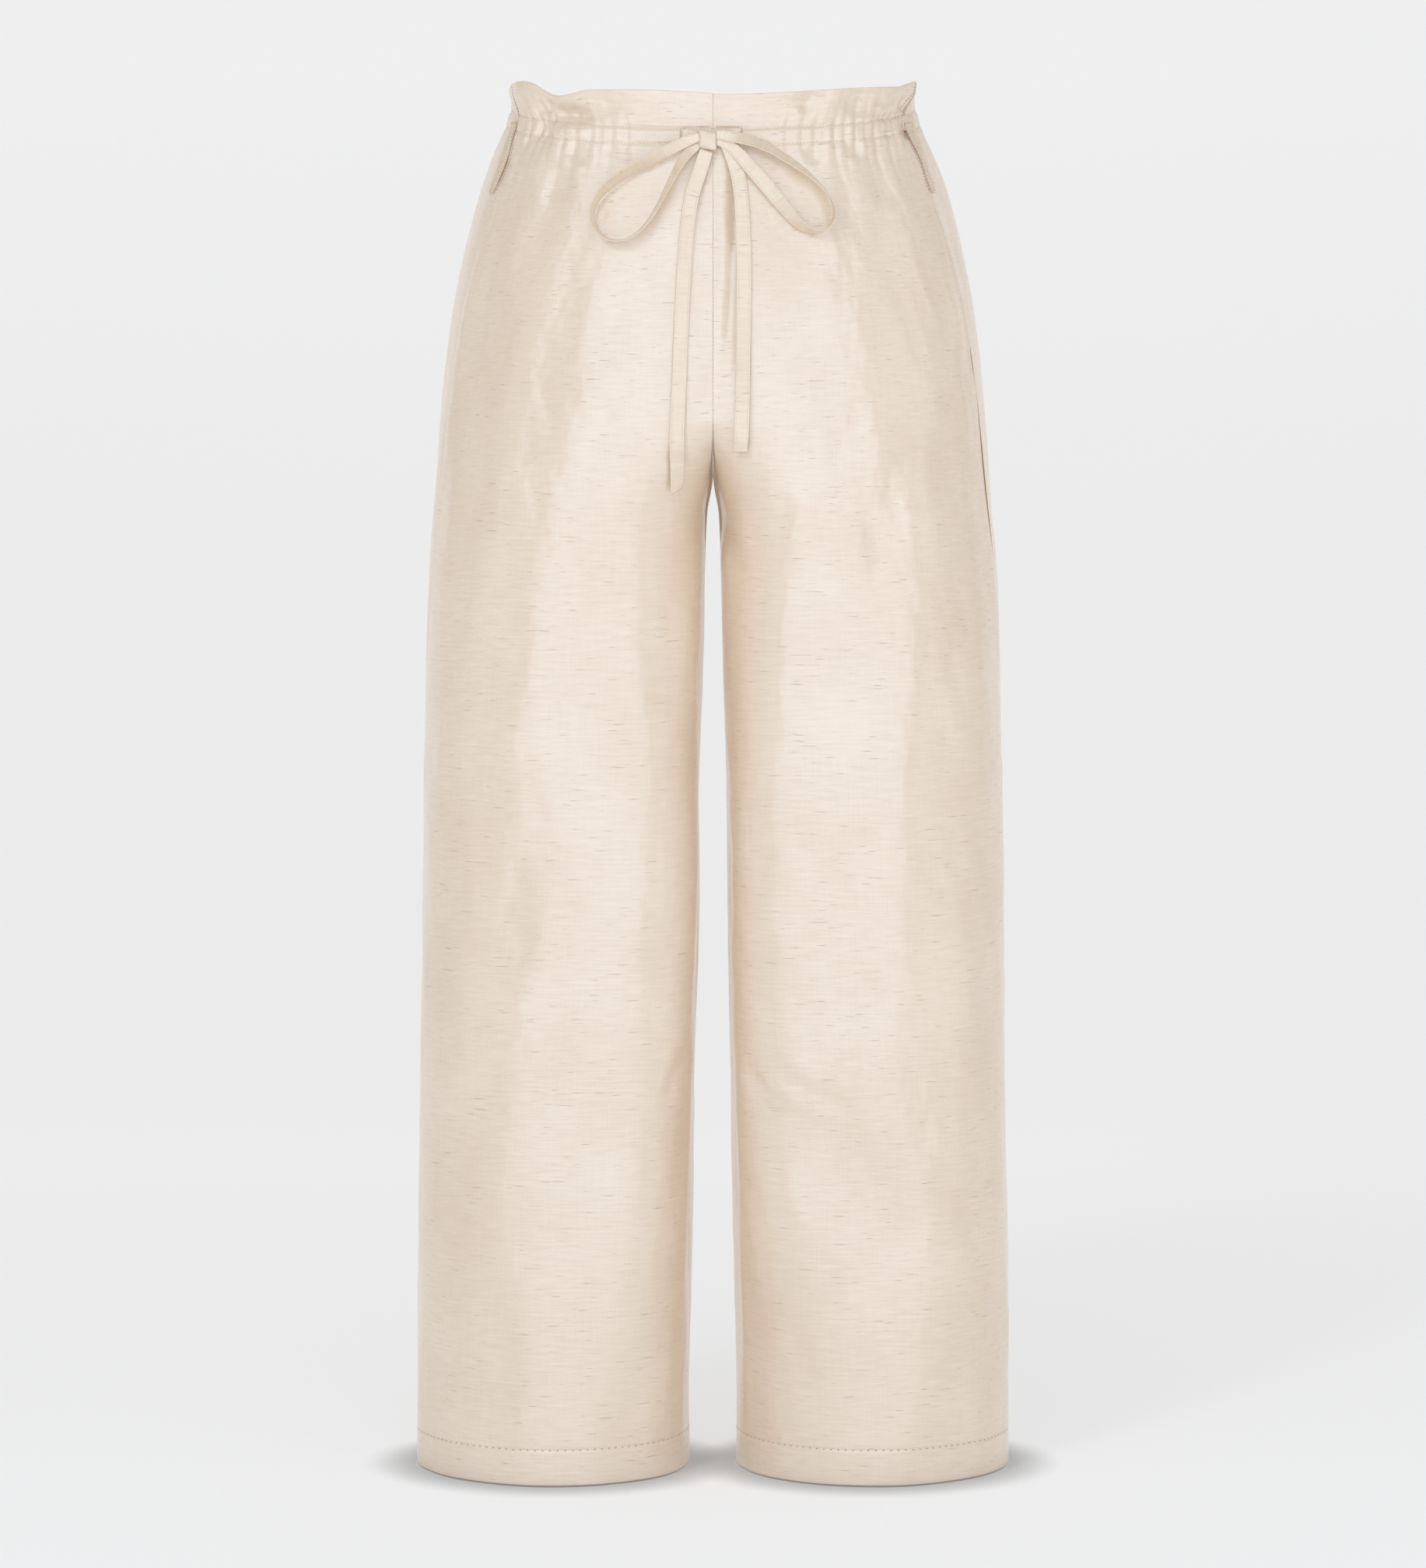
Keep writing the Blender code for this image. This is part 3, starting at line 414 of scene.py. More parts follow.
TAIL_RIGHT = (
    Stop(KNOT_RIGHT_MM, -7.4, 4.9, 0, 0.55),
    Stop(7.6, -10.4, 4.7, 0, 0.72),
    Stop(13.0, -20.0, 4.0, 4, 0.90),
    Stop(17.7, -34.4, 3.1, 8, 1.0),
    Stop(20.4, -54.1, 2.4, 10, 1.0),
    Stop(21.7, -76.7, 1.8, 6, 1.0),
    Stop(22.3, -104.0, 1.3, 0, 1.0),
    Stop(22.2, -133.0, 1.3, 0, 1.0),
    Stop(21.7, -178.0, 1.8, 0, 1.0),
    Stop(21.1, -212.0, 3.6, 0, 1.0),
    Stop(21.1, -232.6, 5.0, 0, 1.0),
)
LEAD_LEFT = (
    Stop(-22.2, -6.4, 2.9, 0, 0.95),
    Stop(-16.0, -6.4, 3.1, 0, 0.85),
    Stop(KNOT_LEFT_MM, -6.8, 3.2, 0, 0.66),
)
LEAD_RIGHT = (
    Stop(KNOT_RIGHT_MM, -6.2, 3.2, 0, 0.66),
    Stop(11.0, -5.6, 3.1, 0, 0.85),
    Stop(19.6, -5.6, 2.9, 0, 0.95),
)


def smoothstep(t: Array | float) -> Array:
    """Eases from 0 to 1 as t goes from 0 to 1."""
    t = np.clip(t, 0.0, 1.0)
    return t * t * (3.0 - 2.0 * t)


def bump(t: Array | float) -> Array:
    """Smooth hump: 1 at t = 0, gone by t = -1 and t = 1."""
    return np.maximum(0.0, 1.0 - np.square(t)) ** 2


def unit(vectors: Array) -> Array:
    """Vectors scaled to length 1, along the last axis."""
    return vectors / np.maximum(np.linalg.norm(vectors, axis=-1, keepdims=True), 1e-12)


def linear(code: str) -> tuple[float, float, float, float]:
    """Linear colour of an sRGB hex code.

    Args:
        code: six hex digits after a hash.

    Returns:
        Red, green, blue and a full alpha.
    """
    parts = [int(code[k:k + 2], 16) / 255.0 for k in (1, 3, 5)]
    red, green, blue = (c / 12.92 if c <= 0.04045 else ((c + 0.055) / 1.055) ** 2.4 for c in parts)
    return red, green, blue, 1.0


def profile(table: tuple, column: str, z: Array) -> Array:
    """Reads one column of a table of rings, smoothly between its rows and never past them.

    Args:
        table: rings in falling order of height.
        column: name of the value to read.
        z: heights.

    Returns:
        The value at each height.
    """
    knots = np.array([row.z for row in reversed(table)])
    values = np.array([getattr(row, column) for row in reversed(table)])
    steps = np.diff(knots)
    slopes = np.diff(values) / steps
    before, after = slopes[:-1], slopes[1:]
    same = before * after > 0.0
    middle = np.where(same, 2.0 * before * after / np.where(same, before + after, 1.0), 0.0)
    tangents = np.concatenate(([slopes[0]], middle, [slopes[-1]]))
    place = np.clip(z, knots[0], knots[-1])
    low = np.clip(np.searchsorted(knots, place, side="right") - 1, 0, len(steps) - 1)
    step = steps[low]
    t = (place - knots[low]) / step
    return (values[low] * (2 * t**3 - 3 * t**2 + 1) + tangents[low] * step * (t**3 - 2 * t**2 + t)
            + values[low + 1] * (3 * t**2 - 2 * t**3) + tangents[low + 1] * step * (t**3 - t**2))


def ring(half_x: Array, front: Array, back: Array, centre_x: Array, angle: Array,
         power: Array | float) -> tuple[Array, Array]:
    """Points and outward directions on rounded rings. The angle runs from the front centre.

    Args:
        half_x: half of each ring's width.
        front: depth of its front half.
        back: depth of its back half.
        centre_x: its middle.
        angle: where on the ring, in radians.
        power: how square each ring is; 2 is an ellipse.

    Returns:
        Level points and unit directions, each with x and y.
    """
    sine, cosine = np.sin(angle), np.cos(angle)
    scale = (np.abs(sine) ** power + np.abs(cosine) ** power) ** (-1.0 / power)
    depth = np.where(cosine > 0.0, front, back)
    x, y = sine * scale, -cosine * scale
    out = np.stack([np.sign(x) * np.abs(x) ** (power - 1) / half_x,
                    np.sign(y) * np.abs(y) ** (power - 1) / depth], axis=-1)
    return np.stack([centre_x + half_x * x, depth * y], axis=-1), unit(out)


@dataclass(frozen=True)
class Form:
    """Outer form of one panel, worn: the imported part's own, with finer gathers and creases."""

    side: Side
    face: Face
    seed: int
    gather_table: tuple[tuple[float, float], ...] = (
        (0.0342, 0.0002), (0.0260, 0.0003), (0.0190, 0.0008), (0.0145, 0.0011), (0.0090, 0.0009),
        (0.0030, 0.0011), (0.0005, 0.0013), (-0.0060, 0.0008), (-0.0160, 0.00035),
        (-0.0300, 0.0001), (-0.0520, 0.0),
    )
    first_phase: tuple[float, float] = (0.17, 0.58)
    back_phase: float = 0.31
    valley_sharpness: float = 2.5
    reach_range: tuple[float, float] = (0.45, 1.7)
    size_range: tuple[float, float] = (0.45, 1.35)
    sway: float = 0.35
    sway_pace: float = 0.012
    sway_start: float = 0.03
    sway_phase: float = 6.0
    sway_share: float = 0.25
    gather_roundness: float = 0.85
    fine_sizes: tuple[float, float] = (0.42, 0.15)
    fine_drop: float = 0.006
    fine_reach: float = 0.016
    calm_size: float = 0.25
    calm_ends: tuple[float, float] = (0.22, 0.42)
    calm_blend: float = 0.2
    back_size: float = 0.9
    edge_ease: float = 0.02
    casing_puff: float = 1.1 * MM
    stitch_pinch: float = 0.55 * MM
    upper_pinch: float = 1.5
    stitch_reach: float = 0.0018
    swell_ease: float = 0.05
    hem_swell: float = 0.35
    ridged_width: float = 3.5
    ridge_sizes: tuple[float, float] = (0.45, 0.10)
    ridge_place: float = 1.9
    ridge_spread: float = 0.9
    crease_fade: float = 0.3
    dip_power: float = 1.2
    wave_power: float = 1.5
    seam_roll: float = 0.25 * MM
    squareness: tuple[float, float] = (1.5, 0.6)
    square_reach: float = 0.4
    hem_square: float = 0.1
    vent_ease: float = 0.4
    hem_sharpness: float = 0.28
    hem_reach: float = 0.22

    def for_side(self, values: tuple[float, float]) -> float:
        """The right leg's value or the left one's."""
        return values[0] if self.side is Side.RIGHT else values[1]

    def for_face(self, values: tuple[float, float]) -> float:
        """The front panel's value or the back one's."""
        return values[0] if self.face is Face.FRONT else values[1]

    def leg_share(self, z: Array, centre_share: Array) -> Array:
        """How far points belong to the leg's ring: 0 on the body, 1 on the leg.

        Args:
            z: heights.
            centre_share: distance from the centre seam as a share of the panel's width.

        Returns:
            The share, which on the centre seam follows the fork's curve.
        """
        slow = smoothstep((CROTCH_Z + BLEND_ABOVE - z) / (BLEND_ABOVE + BLEND_BELOW))
        rise = self.for_face((FRONT_FORK_RISE, BACK_FORK_RISE))
        t = np.clip((CROTCH_Z + rise - z) / (rise + FORK_REACH * centre_share), 0.0, 1.0)
        roundness = FORK_ROUND + FORK_EASE * np.minimum(1.0, centre_share / FORK_EASED_SHARE)
        fork = 1.0 - (1.0 - t * t) ** roundness
        nearness = np.maximum(0.0, 1.0 - centre_share / FORK_SPREAD) ** 2
        return slow + (fork - slow) * nearness

    def gather_phase(self, share: Array) -> Array:
        """Counts the gathers from the panel's front edge, with uneven spacing.

        Args:
            share: shares of the panel's width.

        Returns:
            The count at each place, whole at the valleys between gathers.
        """
        shift = self.for_side(self.first_phase) + self.for_face((0.0, self.back_phase))

        def uneven(place: Array | float) -> Array:
            """Drift of the gathers at a share of the width."""
            return sum(size * np.sin(math.tau * (pace * place + shift)) for size, pace in GATHER_DRIFTS)

        start, end = uneven(0.0), uneven(1.0)
        return GATHERS * (share + uneven(share) - start - (end - start) * share)

    def per_gather(self, phase: Array, low: float, high: float, salt: int) -> Array:
        """Random value of each gather, blended across the valleys between them.

        Args:
            phase: count of gathers from the front edge.
            low: least value.
            high: greatest value.
            salt: number that sets this value's own random draw.

        Returns:
            The value at each phase.
        """
        draw = np.random.default_rng(self.seed * SEED_STEP + salt).uniform(low, high, GATHERS + 3)
        place = np.clip(phase, 0.0, GATHERS) + 0.5
        lower = np.floor(place).astype(int)
        blend = smoothstep((place - lower - 0.5) * self.valley_sharpness + 0.5)
        return draw[lower] + (draw[lower + 1] - draw[lower]) * blend

    def gathers(self, z: Array, share: Array) -> Array:
        """Gathers, with the casing's puff and the dents of its stitch lines.

        Args:
            z: heights.
            share: shares of the panel's width.

        Returns:
            How far each point stands out of the smooth wall.
        """
        phase = self.gather_phase(share)
        middle = 0.5 * (UPPER_STITCH_Z + LOWER_STITCH_Z)
        half = 0.5 * (UPPER_STITCH_Z - LOWER_STITCH_Z)
        knots, heights = zip(*reversed(self.gather_table))
        reach = self.per_gather(phase, *self.reach_range, 1)
        read_z = np.where(z < LOWER_STITCH_Z, LOWER_STITCH_Z - (LOWER_STITCH_Z - z) / reach, z)
        size = np.interp(read_z, knots, heights) * self.per_gather(phase, *self.size_range, 2)
        shift = self.sway * np.sin(z / self.sway_pace + self.per_gather(phase, 0.0, self.sway_phase, 3))
        shift *= smoothstep(np.abs(z - middle) / self.sway_start)
        humps = np.abs(np.sin(math.pi * (phase + self.sway_share * shift))) ** self.gather_roundness
        wave = 2.0 * humps - 1.0
        fine = self.for_face(self.fine_sizes) * np.sin(math.tau * (2.0 * phase + shift)) * bump(
            (z - UPPER_STITCH_Z + self.fine_drop) / self.fine_reach)
        near_bow = self.back_size
        if self.face is Face.FRONT:
            calm = smoothstep((share - self.for_side(self.calm_ends)) / self.calm_blend)
            near_bow = self.calm_size + (1.0 - self.calm_size) * calm
        edge = smoothstep(share / self.edge_ease) * smoothstep((1.0 - share) / self.edge_ease)
        puff = self.casing_puff * np.maximum(0.0, 1.0 - np.square((z - middle) / half))
        pinch = self.stitch_pinch * (self.upper_pinch * bump((z - UPPER_STITCH_Z) / self.stitch_reach)
                                     + bump((z - LOWER_STITCH_Z) / self.stitch_reach))
        return (size * (wave + fine) * near_bow + puff - pinch) * edge

    def waist_folds(self, degrees: Array, z: Array) -> Array:
        """Pinches inwards and lobes outwards of the heading.

        Args:
            degrees: angles from the front centre.
            z: heights.

        Returns:
            How far each point stands out.
        """
        depth = np.zeros_like(z)
        for fold in WAIST_FOLDS:
            if fold.side is self.side:
                reach = np.where(z > fold.z, fold.up, fold.down)
                depth += fold.depth * bump((degrees - fold.angle) / (2.0 * fold.spread)) * bump(
                    (z - fold.z) / reach)
        return depth

    def leg_folds(self, z: Array, share: Array) -> Array:
        """Soft troughs across the legs.

        Args:
            z: heights.
            share: shares of the panel's width.

        Returns:
            How far each point stands out.
        """
        depth = np.zeros_like(z)
        for fold in LEG_FOLDS:
            if fold.side is self.side and fold.face is self.face:
                along = np.array([(fold.end_share - fold.top_share) * PANEL_WIDTH, fold.end_z - fold.top_z])
                here = np.stack([(share - fold.top_share) * PANEL_WIDTH, z - fold.top_z], axis=-1)
                t = here @ along / (along @ along)
                aside = np.linalg.norm(here - t[..., None] * along, axis=-1) / (2.0 * fold.width)
                depth += fold.depth * bump(aside) * bump(2.0 * t - 1.0)
        return depth

    def drape(self, z: Array, share: Array) -> Array:
        """Slow unevenness of crisp silk: long upright swells and small rumples, seeded.

        Args:
            z: heights.
            share: shares of the panel's width.

        Returns:
            How far each point stands out.
        """
        draw = np.random.default_rng(self.seed)
        u = share * PANEL_WIDTH
        depth = np.zeros_like(z)
        for swell in SWELLS:
            for _ in range(swell.count):
                pace_u = math.tau / draw.uniform(*swell.across)
                pace_z = math.tau / draw.uniform(*swell.upright) * draw.choice((-1.0, 1.0))
                start = draw.uniform(0.0, math.tau)
                depth += swell.size * draw.uniform(0.5, 1.0) * np.sin(pace_u * u + pace_z * z + start)
        edge = smoothstep(share / self.swell_ease) * smoothstep((1.0 - share) / self.swell_ease)
        body = smoothstep((LOWER_STITCH_Z - z) / self.swell_ease)
        hem = self.hem_swell + (1.0 - self.hem_swell) * smoothstep((z - HEM_Z) / self.swell_ease)
        return depth * edge * body * hem

    def creases(self, points: Array) -> Array:
        """Small sharp folds, each a valley between two low ridges.

        Args:
            points: outer points of the panel.

        Returns:
            How far each point stands out.
        """
        flat = points[..., (0, 2)]
        depth = np.zeros(flat.shape[:-1])
        for crease in CREASES:
            if crease.face is not self.face or crease.points[0][0] * self.side.value < 0.0:
                continue
            line = np.array(crease.points) * MM
            lengths = np.linalg.norm(np.diff(line, axis=0), axis=1)
            total = lengths.sum()
            nearest = np.full(flat.shape[:-1], np.inf)
            place = np.zeros(flat.shape[:-1])
            for k, length in enumerate(lengths):
                along = line[k + 1] - line[k]
                t = np.clip((flat - line[k]) @ along / (along @ along), 0.0, 1.0)
                gap = np.linalg.norm(flat - line[k] - t[..., None] * along, axis=-1)
                closer = gap < nearest
                nearest = np.where(closer, gap, nearest)
                place = np.where(closer, (lengths[:k].sum() + t * length) / total, place)
            away = nearest / (crease.width * MM)
            ridge = self.ridge_sizes[0] if crease.width >= self.ridged_width else self.ridge_sizes[1]
            ridges = np.exp(-np.square((away - self.ridge_place) / self.ridge_spread))
            shape = np.exp(-np.square(away)) - ridge * ridges
            fade = smoothstep(place / self.crease_fade) * smoothstep((1.0 - place) / self.crease_fade)
            depth -= crease.depth * MM * shape * fade
        return depth

    def height_shift(self, degrees: Array, z: Array) -> Array:
        """Dip of the waist's rows at the front and back, and the top edge's own waves.

        Args:
            degrees: angles from the front centre.
            z: heights at the side of the waist.

        Returns:
            How much each point is raised.
        """
        forward = np.cos(np.radians(degrees))
        heading = smoothstep((z - UPPER_STITCH_Z) / (TOP_Z - UPPER_STITCH_Z))
        fade = smoothstep((z - DIP_END_Z) / (LOWER_STITCH_Z - DIP_END_Z))
        front = FRONT_DIP + (TOP_FRONT_DIP - FRONT_DIP) * heading
        dip = np.where(forward > 0.0, front, BACK_DIP) * np.abs(forward) ** self.dip_power
        rise = np.zeros_like(z)
        for wave in EDGE_WAVES:
            if wave.side is self.side:
                rise += wave.rise * bump((degrees - wave.angle) / (2.0 * wave.spread))
        return rise * heading**self.wave_power - dip * fade

    def edge_angles(self, z: Array) -> tuple[Array, Array, Array, Array]:
        """Finds where the panel starts and ends.

        Args:
            z: heights.

        Returns:
            Angles of both edges on the body's ring, then on the leg's ring.
        """
        turn = np.radians(profile(LEG_RINGS, "side_turn", z))
        inseam = np.radians(profile(LEG_RINGS, "inseam_turn", z))
        radius = 0.5 * (profile(BODY_RINGS, "front", z) + profile(BODY_RINGS, "back", z))
        half_gap = 0.5 * SEAM_GAP / radius
        side_angle = 0.5 * math.pi - turn
        column = f"{self.side.word}_{self.face.value}"
        vent = np.maximum(half_gap, self.vent_ease * profile(VENT_GAPS, column, z) / radius)
        if self.face is Face.FRONT:
            end = side_angle - vent
            return np.zeros_like(z), end, inseam - 0.5 * math.pi + half_gap, end
        start = side_angle + vent
        return start, np.full_like(z, math.pi), start, inseam + 1.5 * math.pi - half_gap

    def skin(self, z: Array, share: Array) -> tuple[Array, Array]:
        """Outer points of the panel and the level directions out of the garment.

        Args:
            z: heights before the waist's dip.
            share: shares of the panel's width, from its front edge to its back edge.

        Returns:
            Points and directions, with a last axis of 3.
        """
        body_start, body_end, leg_start, leg_end = self.edge_angles(z)
        body_angle = body_start + (body_end - body_start) * share
        leg_angle = leg_start + (leg_end - leg_start) * share
        outer = profile(BODY_RINGS, "half_width", z)
        inner = profile(LEG_RINGS, "inner", z)
        body, body_out = ring(outer, profile(BODY_RINGS, "front", z), profile(BODY_RINGS, "back", z),
                              np.zeros_like(z), body_angle, BODY_POWER)
        square = self.hem_square + (1.0 - self.hem_square) * smoothstep((z - HEM_Z) / self.square_reach)
        outer_power = LEG_POWER - self.hem_sharpness * bump((z - HEM_Z) / self.hem_reach)
        inner_power = outer_power + self.for_face(self.squareness) * square
        leg_power = np.where(np.sin(leg_angle) < 0.0, inner_power, outer_power)
        leg, leg_out = ring(0.5 * (outer - inner), profile(LEG_RINGS, "front", z),
                            profile(LEG_RINGS, "back", z), 0.5 * (outer + inner), leg_angle, leg_power)
        centre_share = share if self.face is Face.FRONT else 1.0 - share
        belongs = self.leg_share(z, centre_share)[..., None]
        level = body + (leg - body) * belongs
        out = unit(body_out * (1.0 - belongs) + leg_out * belongs)
        degrees = np.degrees(body_angle)
        away = self.waist_folds(degrees, z) + self.leg_folds(z, share) + self.drape(z, share)
        level = level + out * (away + self.gathers(z, share))[..., None]
        height = z + self.height_shift(degrees, z)
        across = self.side.value * (level[..., 0] + 0.5 * SEAM_GAP)
        points = np.stack([across, level[..., 1], height], axis=-1)
        outs = np.stack([self.side.value * out[..., 0], out[..., 1], np.zeros_like(z)], axis=-1)
        points += outs * self.creases(points)[..., None]
        return points, outs


def node(tree: bpy.types.NodeTree, kind: str, inputs: dict | None = None, **settings) -> bpy.types.Node:
    """Adds a node with its settings, values and links.

    Args:
        tree: node tree it goes in.
        kind: Blender's name for the node's type.
        inputs: a value or another node's output for each input, by name or number.
        **settings: properties of the node itself.

    Returns:
        The new node.
    """
    made = tree.nodes.new(kind)
    for name, value in settings.items():
        setattr(made, name, value)
    for key, value in (inputs or {}).items():
        socket = made.inputs[key]
        if isinstance(value, Socket):
            tree.links.new(value, socket)
        else:
            socket.default_value = value
    return made


def new_tree(name: str) -> tuple[bpy.types.Material, bpy.types.NodeTree]:
    """Makes a material with an empty tree.

    Args:
        name: the material's name.

    Returns:
        The material and its tree.
    """
    material = bpy.data.materials.new(name)
    material.use_nodes = True
    material.node_tree.nodes.clear()
    return material, material.node_tree


@dataclass(frozen=True)
class SlubSilk:
    """Champagne dupioni: hand-reeled silk, plain woven with thick and thin weft yarns.

    The uneven weft gives fine level ribs and stray slubs. The smooth warp gives a crisp sheen that
    spreads up and down. The UV map is in metres along the cloth's own grain.
    """

    name: str = "champagne_slub_silk"
    cloth: str = "#D2BDA7"
    pale: str = "#DCCBB8"
    slub: str = "#B59D80"
    # The real weft lies about 0.6 mm apart, its slubs are 0.3 to 0.5 mm thick and the warp is finer
    # still. All are too fine to show in the render, so they are drawn coarser.
    rib_mm: float = 1.8
    rib_length_mm: float = 20.0
    slub_mm: float = 0.9
    slub_length_mm: float = 15.0
    warp_mm: float = 0.9
    warp_length_mm: float = 34.0
    shading_mm: float = 90.0
    relief_mm: float = 0.17
    pattern_seeds: tuple[float, float, float, float] = (3.1, 11.7, 5.3, 7.9)
    warp_share: float = 0.35
    slub_range: tuple[float, float] = (0.71, 0.80)
    slub_strength: float = 0.55
    tone_range: tuple[float, float] = (0.88, 1.47)
    roughness: float = 0.28
    gloss: float = 1.0
    ior: float = 1.85
    stretch: float = 0.65
    stretch_turn: float = 0.25
    sheen: float = 0.12
    sheen_roughness: float = 0.4

    def pattern(self, tree: bpy.types.NodeTree, width_mm: float, height_mm: float, seed: float,
                detail: float = 2.0) -> Socket:
        """Noise with one size across the cloth and one along it.

        Args:
            tree: the material's tree.
            width_mm: size across, in millimetres.
            height_mm: size along, in millimetres.
            seed: moves this pattern to its own part of the noise.
            detail: how many finer octaves it holds.

        Returns:
            The noise, from 0 to 1.
        """
        coordinates = node(tree, "ShaderNodeUVMap", uv_map="grain")
        mapping = node(tree, "ShaderNodeMapping", {
            "Vector": coordinates.outputs["UV"], "Location": (seed, seed * 1.7, seed),
            "Scale": (1.0 / (width_mm * MM), 1.0 / (height_mm * MM), 1.0)})
        return node(tree, "ShaderNodeTexNoise", {
            "Vector": mapping.outputs["Vector"], "Scale": 1.0, "Detail": detail}).outputs["Fac"]

    def material(self) -> bpy.types.Material:
        """Builds the finish.

        Returns:
            Its material.
        """
        material, tree = new_tree(self.name)
        rib_seed, slub_seed, warp_seed, shading_seed = self.pattern_seeds
        ribs = self.pattern(tree, self.rib_length_mm, self.rib_mm, rib_seed, 3.0)
        slubs = self.pattern(tree, self.slub_length_mm, self.slub_mm, slub_seed, 1.0)
        warp = self.pattern(tree, self.warp_mm, self.warp_length_mm, warp_seed)
        shading = self.pattern(tree, self.shading_mm, self.shading_mm, shading_seed)
        slub_mask = node(tree, "ShaderNodeMapRange", {
            "Value": slubs, "From Min": self.slub_range[0],
            "From Max": self.slub_range[1]}).outputs["Result"]
        fine_warp = node(tree, "ShaderNodeMath", {
            0: warp, 1: self.warp_share}, operation="MULTIPLY").outputs[0]
        weave = node(tree, "ShaderNodeMath", {0: ribs, 1: fine_warp}, operation="ADD").outputs[0]
        tone = node(tree, "ShaderNodeMapRange", {
            "Value": node(tree, "ShaderNodeMath", {0: weave, 1: shading}, operation="ADD").outputs[0],
            "From Min": self.tone_range[0], "From Max": self.tone_range[1]}).outputs["Result"]
        base = node(tree, "ShaderNodeMix", {
            MIX_FACTOR: tone, MIX_A: linear(self.cloth), MIX_B: linear(self.pale)}, data_type="RGBA")
        spotted = node(tree, "ShaderNodeMath", {0: slub_mask, 1: self.slub_strength}, operation="MULTIPLY")
        colour = node(tree, "ShaderNodeMix", {
            MIX_FACTOR: spotted.outputs[0], MIX_A: base.outputs[MIX_RESULT], MIX_B: linear(self.slub)},
            data_type="RGBA").outputs[MIX_RESULT]
        height = node(tree, "ShaderNodeMath", {0: weave, 1: slub_mask}, operation="ADD").outputs[0]
        relief = node(tree, "ShaderNodeBump", {
            "Height": height, "Strength": 1.0, "Distance": self.relief_mm * MM}).outputs["Normal"]
        tangent = node(tree, "ShaderNodeTangent", direction_type="UV_MAP", uv_map="grain").outputs[0]
        shader = node(tree, "ShaderNodeBsdfPrincipled", {
            "Base Color": colour, "Roughness": self.roughness, "IOR": self.ior,
            "Specular IOR Level": self.gloss, "Anisotropic": self.stretch,
            "Anisotropic Rotation": self.stretch_turn, "Tangent": tangent, "Sheen Weight": self.sheen,
            "Sheen Roughness": self.sheen_roughness, "Normal": relief})
        node(tree, "ShaderNodeOutputMaterial", {"Surface": shader.outputs[0]})
        return material


@dataclass(frozen=True)
class SewingThread:
    """Spun polyester thread, twisted and matched to the cloth: matt, its tone mixed at random along the
    twist with a darker one. A darker copy of it is painted shade for stitches in holes and seam ditches.
    """

    name: str = "matched_sewing_thread"
    colour: str = "#CDBBA3"
    shade: str = "#B9A489"
    twist_mm: float = 0.5
    roughness: float = 0.62
    sheen: float = 0.2

    def material(self) -> bpy.types.Material:
        """Builds the finish.

        Returns:
            Its material.
        """
        material, tree = new_tree(self.name)
        place = node(tree, "ShaderNodeTexCoord").outputs["Object"]
        twist = node(tree, "ShaderNodeTexNoise", {"Vector": place, "Scale": 1.0 / (self.twist_mm * MM)})
        colour = node(tree, "ShaderNodeMix", {
            MIX_FACTOR: twist.outputs["Fac"], MIX_A: linear(self.shade), MIX_B: linear(self.colour)},
            data_type="RGBA")
        shader = node(tree, "ShaderNodeBsdfPrincipled", {
            "Base Color": colour.outputs[MIX_RESULT], "Roughness": self.roughness,
            "Sheen Weight": self.sheen})
        node(tree, "ShaderNodeOutputMaterial", {"Surface": shader.outputs[0]})
        return material


@dataclass(frozen=True)
class StudioPaper:
    """Seamless studio paper, lit evenly: it glows, so that only contact shadows show on it, and the contact
    shadow on its glow is painted.
    """

    name: str = "seamless_studio_paper"
    colour: str = "#EDEDED"
    floor_glow: float = 0.495
    wall_glow: float = 0.613
    glow_start: float = -0.35
    glow_end: float = 1.5
    albedo: float = 0.48
    roughness: float = 0.9
    painted_shadow_reach: float = 0.042
    painted_shadow_depth: float = 3.0

    def material(self) -> bpy.types.Material:
        """Builds the finish.

        Returns:
            Its material.
        """
        material, tree = new_tree(self.name)
        place = node(tree, "ShaderNodeTexCoord").outputs["Object"]
        depth = node(tree, "ShaderNodeSeparateXYZ", {"Vector": place}).outputs["Y"]
        glow = node(tree, "ShaderNodeMapRange", {
            "Value": depth, "From Min": self.glow_start, "From Max": self.glow_end,
            "To Min": self.floor_glow, "To Max": self.wall_glow}).outputs["Result"]
        # Painted shadow: ambient occlusion darkens the paper's glow close to the garment, where a contact
        # shadow falls.
        painted_shadow_occlusion = node(tree, "ShaderNodeAmbientOcclusion", {"Distance": self.painted_shadow_reach}, samples=12)
        shade = node(tree, "ShaderNodeMath", {
            0: painted_shadow_occlusion.outputs["AO"], 1: self.painted_shadow_depth}, operation="POWER")
        glow = node(tree, "ShaderNodeMath", {0: glow, 1: shade.outputs[0]}, operation="MULTIPLY").outputs[0]
        shader = node(tree, "ShaderNodeBsdfPrincipled", {
            "Base Color": (self.albedo, self.albedo, self.albedo, 1.0), "Roughness": self.roughness,
            "Specular IOR Level": 0.0, "Emission Color": linear(self.colour), "Emission Strength": glow})
        node(tree, "ShaderNodeOutputMaterial", {"Surface": shader.outputs[0]})
        return material


def add_object(name: str, mesh: bpy.types.Mesh,
               material: bpy.types.Material | None) -> bpy.types.Object:
    """Puts a mesh in the scene as a piece.

    Args:
        name: the piece's name.
        mesh: its mesh, which is shaded smooth.
        material: its finish, or None where the mesh gets one later.

    Returns:
        The piece.
    """
    if material is not None:
        mesh.materials.append(material)
    piece = bpy.data.objects.new(name, mesh)
    bpy.context.scene.collection.objects.link(piece)
    mesh.shade_smooth()
    return piece


